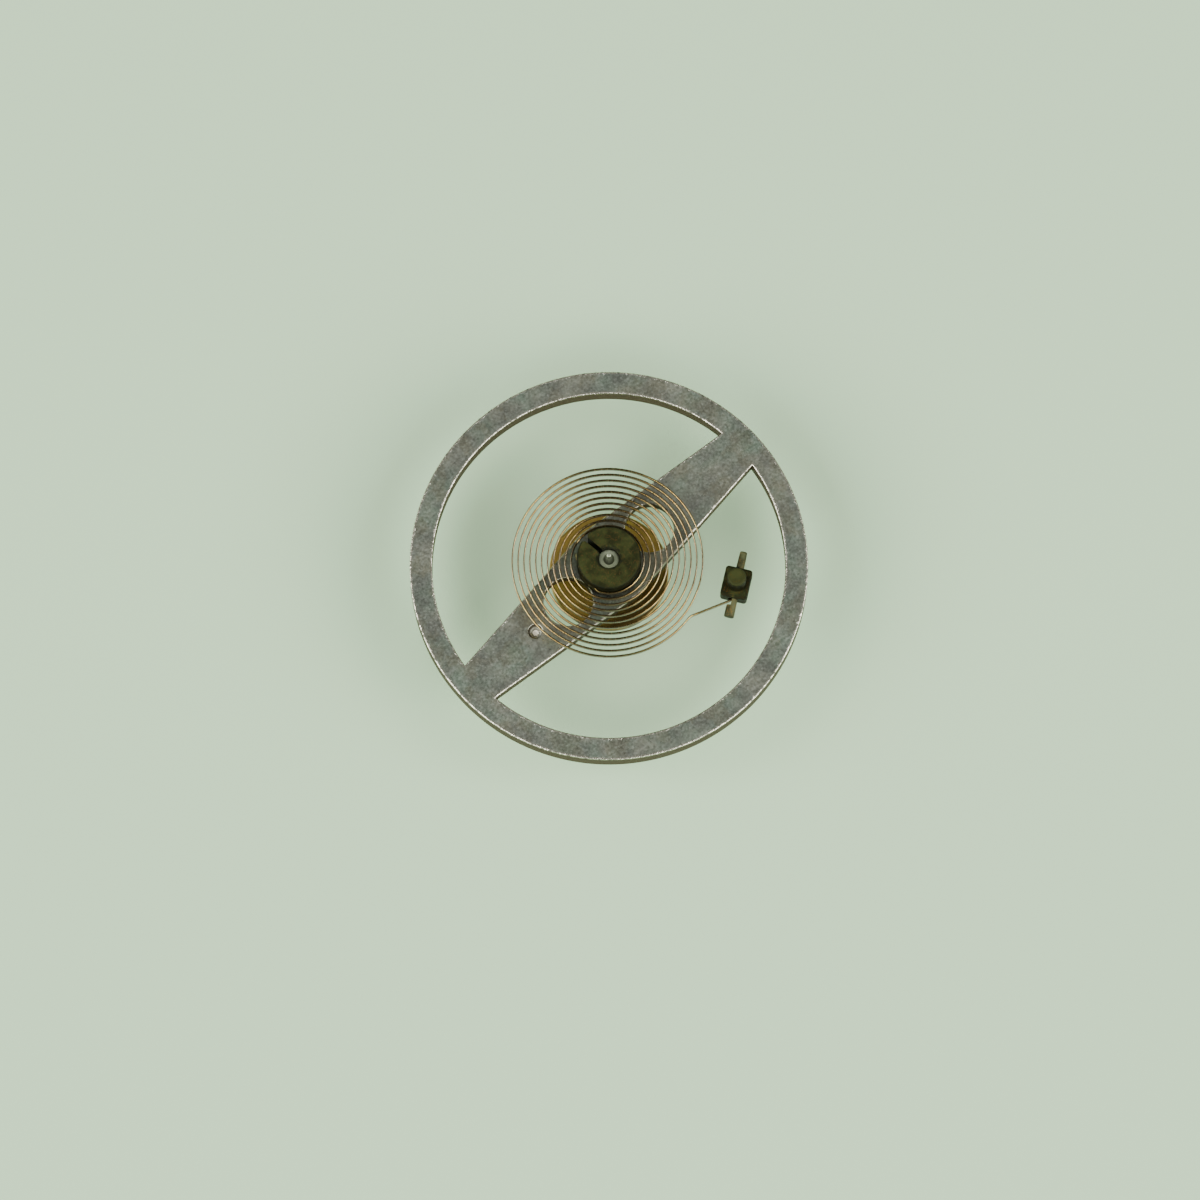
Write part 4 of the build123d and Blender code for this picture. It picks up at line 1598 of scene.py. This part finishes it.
def spring_material():
    """Straw and copper tints wandering along the strip, with bright corners and dark faces partly painted
    light.
    """
    material, tree, shader = new_material("spring alloy", Specular_IOR_Level=0.1)
    along = carried(tree, "along")
    wander = ranged(tree, noise(tree, "1D", W=along, Scale=TINTS_ALONG, Detail=3.0), 0.4, 0.6)
    spark = noise(tree, "1D", W=along, Scale=SPARKS_ALONG, Detail=2.0)
    rolled = noise(tree, "1D", W=split(tree, spot(tree))[2], Scale=ROLLED_LINES, Detail=3.0)
    side = off_side(tree)
    straight_end = ranged(tree, along, STRAIGHT_FROM, STRAIGHT_FROM + STRAIGHT_BLEND, 0.0, 0.8)
    # Painted shade on two opposite sides of the spiral, and a darker straight end
    dark = maths(tree, "MAXIMUM", ranged(tree, side, *SHADED_SIDES, 0.0, 0.85), straight_end)
    face = mixed(tree, wander, SPRING["olive face"], SPRING["brown face"])
    face = mixed(tree, ranged(tree, rolled, 0.4, 0.65, 0.0, 0.5), face, SPRING["rolled line"])
    corner = layered(
        tree,
        SPRING["copper corner"],
        (wander, SPRING["straw corner"]),
        # Painted highlight on the sides between
        (ranged(tree, side, *LIT_SIDES, 0.0, 0.6), SPRING["highlight corner"]),
        (dark, SPRING["dark corner"]),
        (ranged(tree, spark, 0.5, 0.7, 0.0, 0.45), SPRING["spark"]),
    )
    # Bright corners and dark faces: partly the alloy's tint, partly painted highlight and painted shade
    colour = mixed(tree, corner_mask(tree), face, corner)
    rough = ranged(tree, spark, *NOISE_MOSTLY, 0.18, 0.3)
    metal = ranged(tree, wall_mask(tree), 0.0, 1.0, 1.0, 0.35)
    wire(tree, shader, Base_Color=colour, Metallic=metal, Roughness=rough)
    wire(tree, shader, Normal=bumped(tree, rolled, depth=0.001))
    return material


dress("spring_alloy", spring_material(), hairspring)

# %% [markdown]
# The stage is a plain pale floor that the lower pivot stands on. The camera looks down steeply, a little
# off the staff's axis, through a long lens, so that the rim stays nearly round. Its place could be tried by
# hand, but it is worked out in the camera's own directions, right, away and up, from the pixel where the
# staff's axis should lie.

# %% Camera
IMAGE_WIDTH = 1200
PIXELS_PER_MM = 39.92
AXIS_PIXEL = (608.9, 564.9)
azimuth = math.radians(-42.9)
elevation = math.radians(77.0)
camera_distance = 0.25
sensor_width = 36.0

right = Vector((math.cos(azimuth), math.sin(azimuth), 0))
away = Vector((-math.sin(azimuth), math.cos(azimuth), 0))
back = -away * math.cos(elevation) + Vector((0, 0, math.sin(elevation)))
picture_up = back.cross(right)
axis_point = Vector((0, 0, arm_top)) * MM
shift_right, shift_up = (IMAGE_WIDTH / 2 - pixel for pixel in AXIS_PIXEL)
aim = axis_point + (right * shift_right - picture_up * shift_up) * (MM / PIXELS_PER_MM)
frame_width = IMAGE_WIDTH / PIXELS_PER_MM * MM

camera_data = bpy.data.cameras.new("camera")
camera_data.sensor_width = sensor_width
camera_data.lens = sensor_width * camera_distance / frame_width
camera_data.clip_start = 0.01
camera_data.clip_end = 10.0
camera = bpy.data.objects.new("camera", camera_data)
camera.location = aim + back * camera_distance
camera.rotation_mode = "QUATERNION"
camera.rotation_quaternion = (-back).to_track_quat("-Z", "Y")
bpy.context.scene.collection.objects.link(camera)
bpy.context.scene.camera = camera
print(f"lens {camera_data.lens:.0f} mm, picture {frame_width / MM:.1f} mm wide")

# %% Floor
floor_half = 0.6
floor_corners = [(x * floor_half, y * floor_half, 0) for x, y in ((-1, -1), (1, -1), (1, 1), (-1, 1))]
floor_mesh = bpy.data.meshes.new("floor")
floor_mesh.from_pydata(floor_corners, [], [(0, 1, 2, 3)])
floor = bpy.data.objects.new("floor", floor_mesh)
bpy.context.scene.collection.objects.link(floor)
floor_material = new_material(
    "pale floor",
    Roughness=0.6,
    Base_Color=rgba((0.49, 0.71, 0.44)),
    Emission_Color=rgba((0.62, 0.80, 0.55)),
    Emission_Strength=0.14,
)[0]
floor_mesh.materials.append(floor_material)

# %% [markdown]
# The light is soft and comes mostly from both sides. Flat metal then mirrors the dimmer space above it and
# looks grey, while broken edges and the round edges of the strip catch the lamps as bright lines.

# %% Soft studio light
LAMP_PLACE = (0.27, -0.13, 0.25)
LAMP_SIZE = (0.42, 0.30)
LAMP_POWER = 2.3
ROOM_STRENGTH = 0.25
for name, side in (("left lamp", -1), ("right lamp", 1)):
    lamp_data = bpy.data.lights.new(name, "AREA")
    lamp_data.shape = "RECTANGLE"
    lamp_data.size, lamp_data.size_y = LAMP_SIZE
    lamp_data.energy = LAMP_POWER
    lamp = bpy.data.objects.new(name, lamp_data)
    to_right, to_away, height = LAMP_PLACE
    lamp.location = right * (side * to_right) + away * to_away + Vector((0, 0, height))
    lamp.rotation_mode = "QUATERNION"
    lamp.rotation_quaternion = (axis_point - lamp.location).to_track_quat("-Z", "Y")
    bpy.context.scene.collection.objects.link(lamp)

world = bpy.data.worlds.new("soft room")
world.use_nodes = True
room = world.node_tree.nodes["Background"].inputs
room["Color"].default_value = rgba((0.95, 1.0, 0.92))
room["Strength"].default_value = ROOM_STRENGTH
bpy.context.scene.world = world
print(f"two lamps of {LAMP_POWER} W, {(lamp.location - axis_point).length:.2f} m from the wheel")
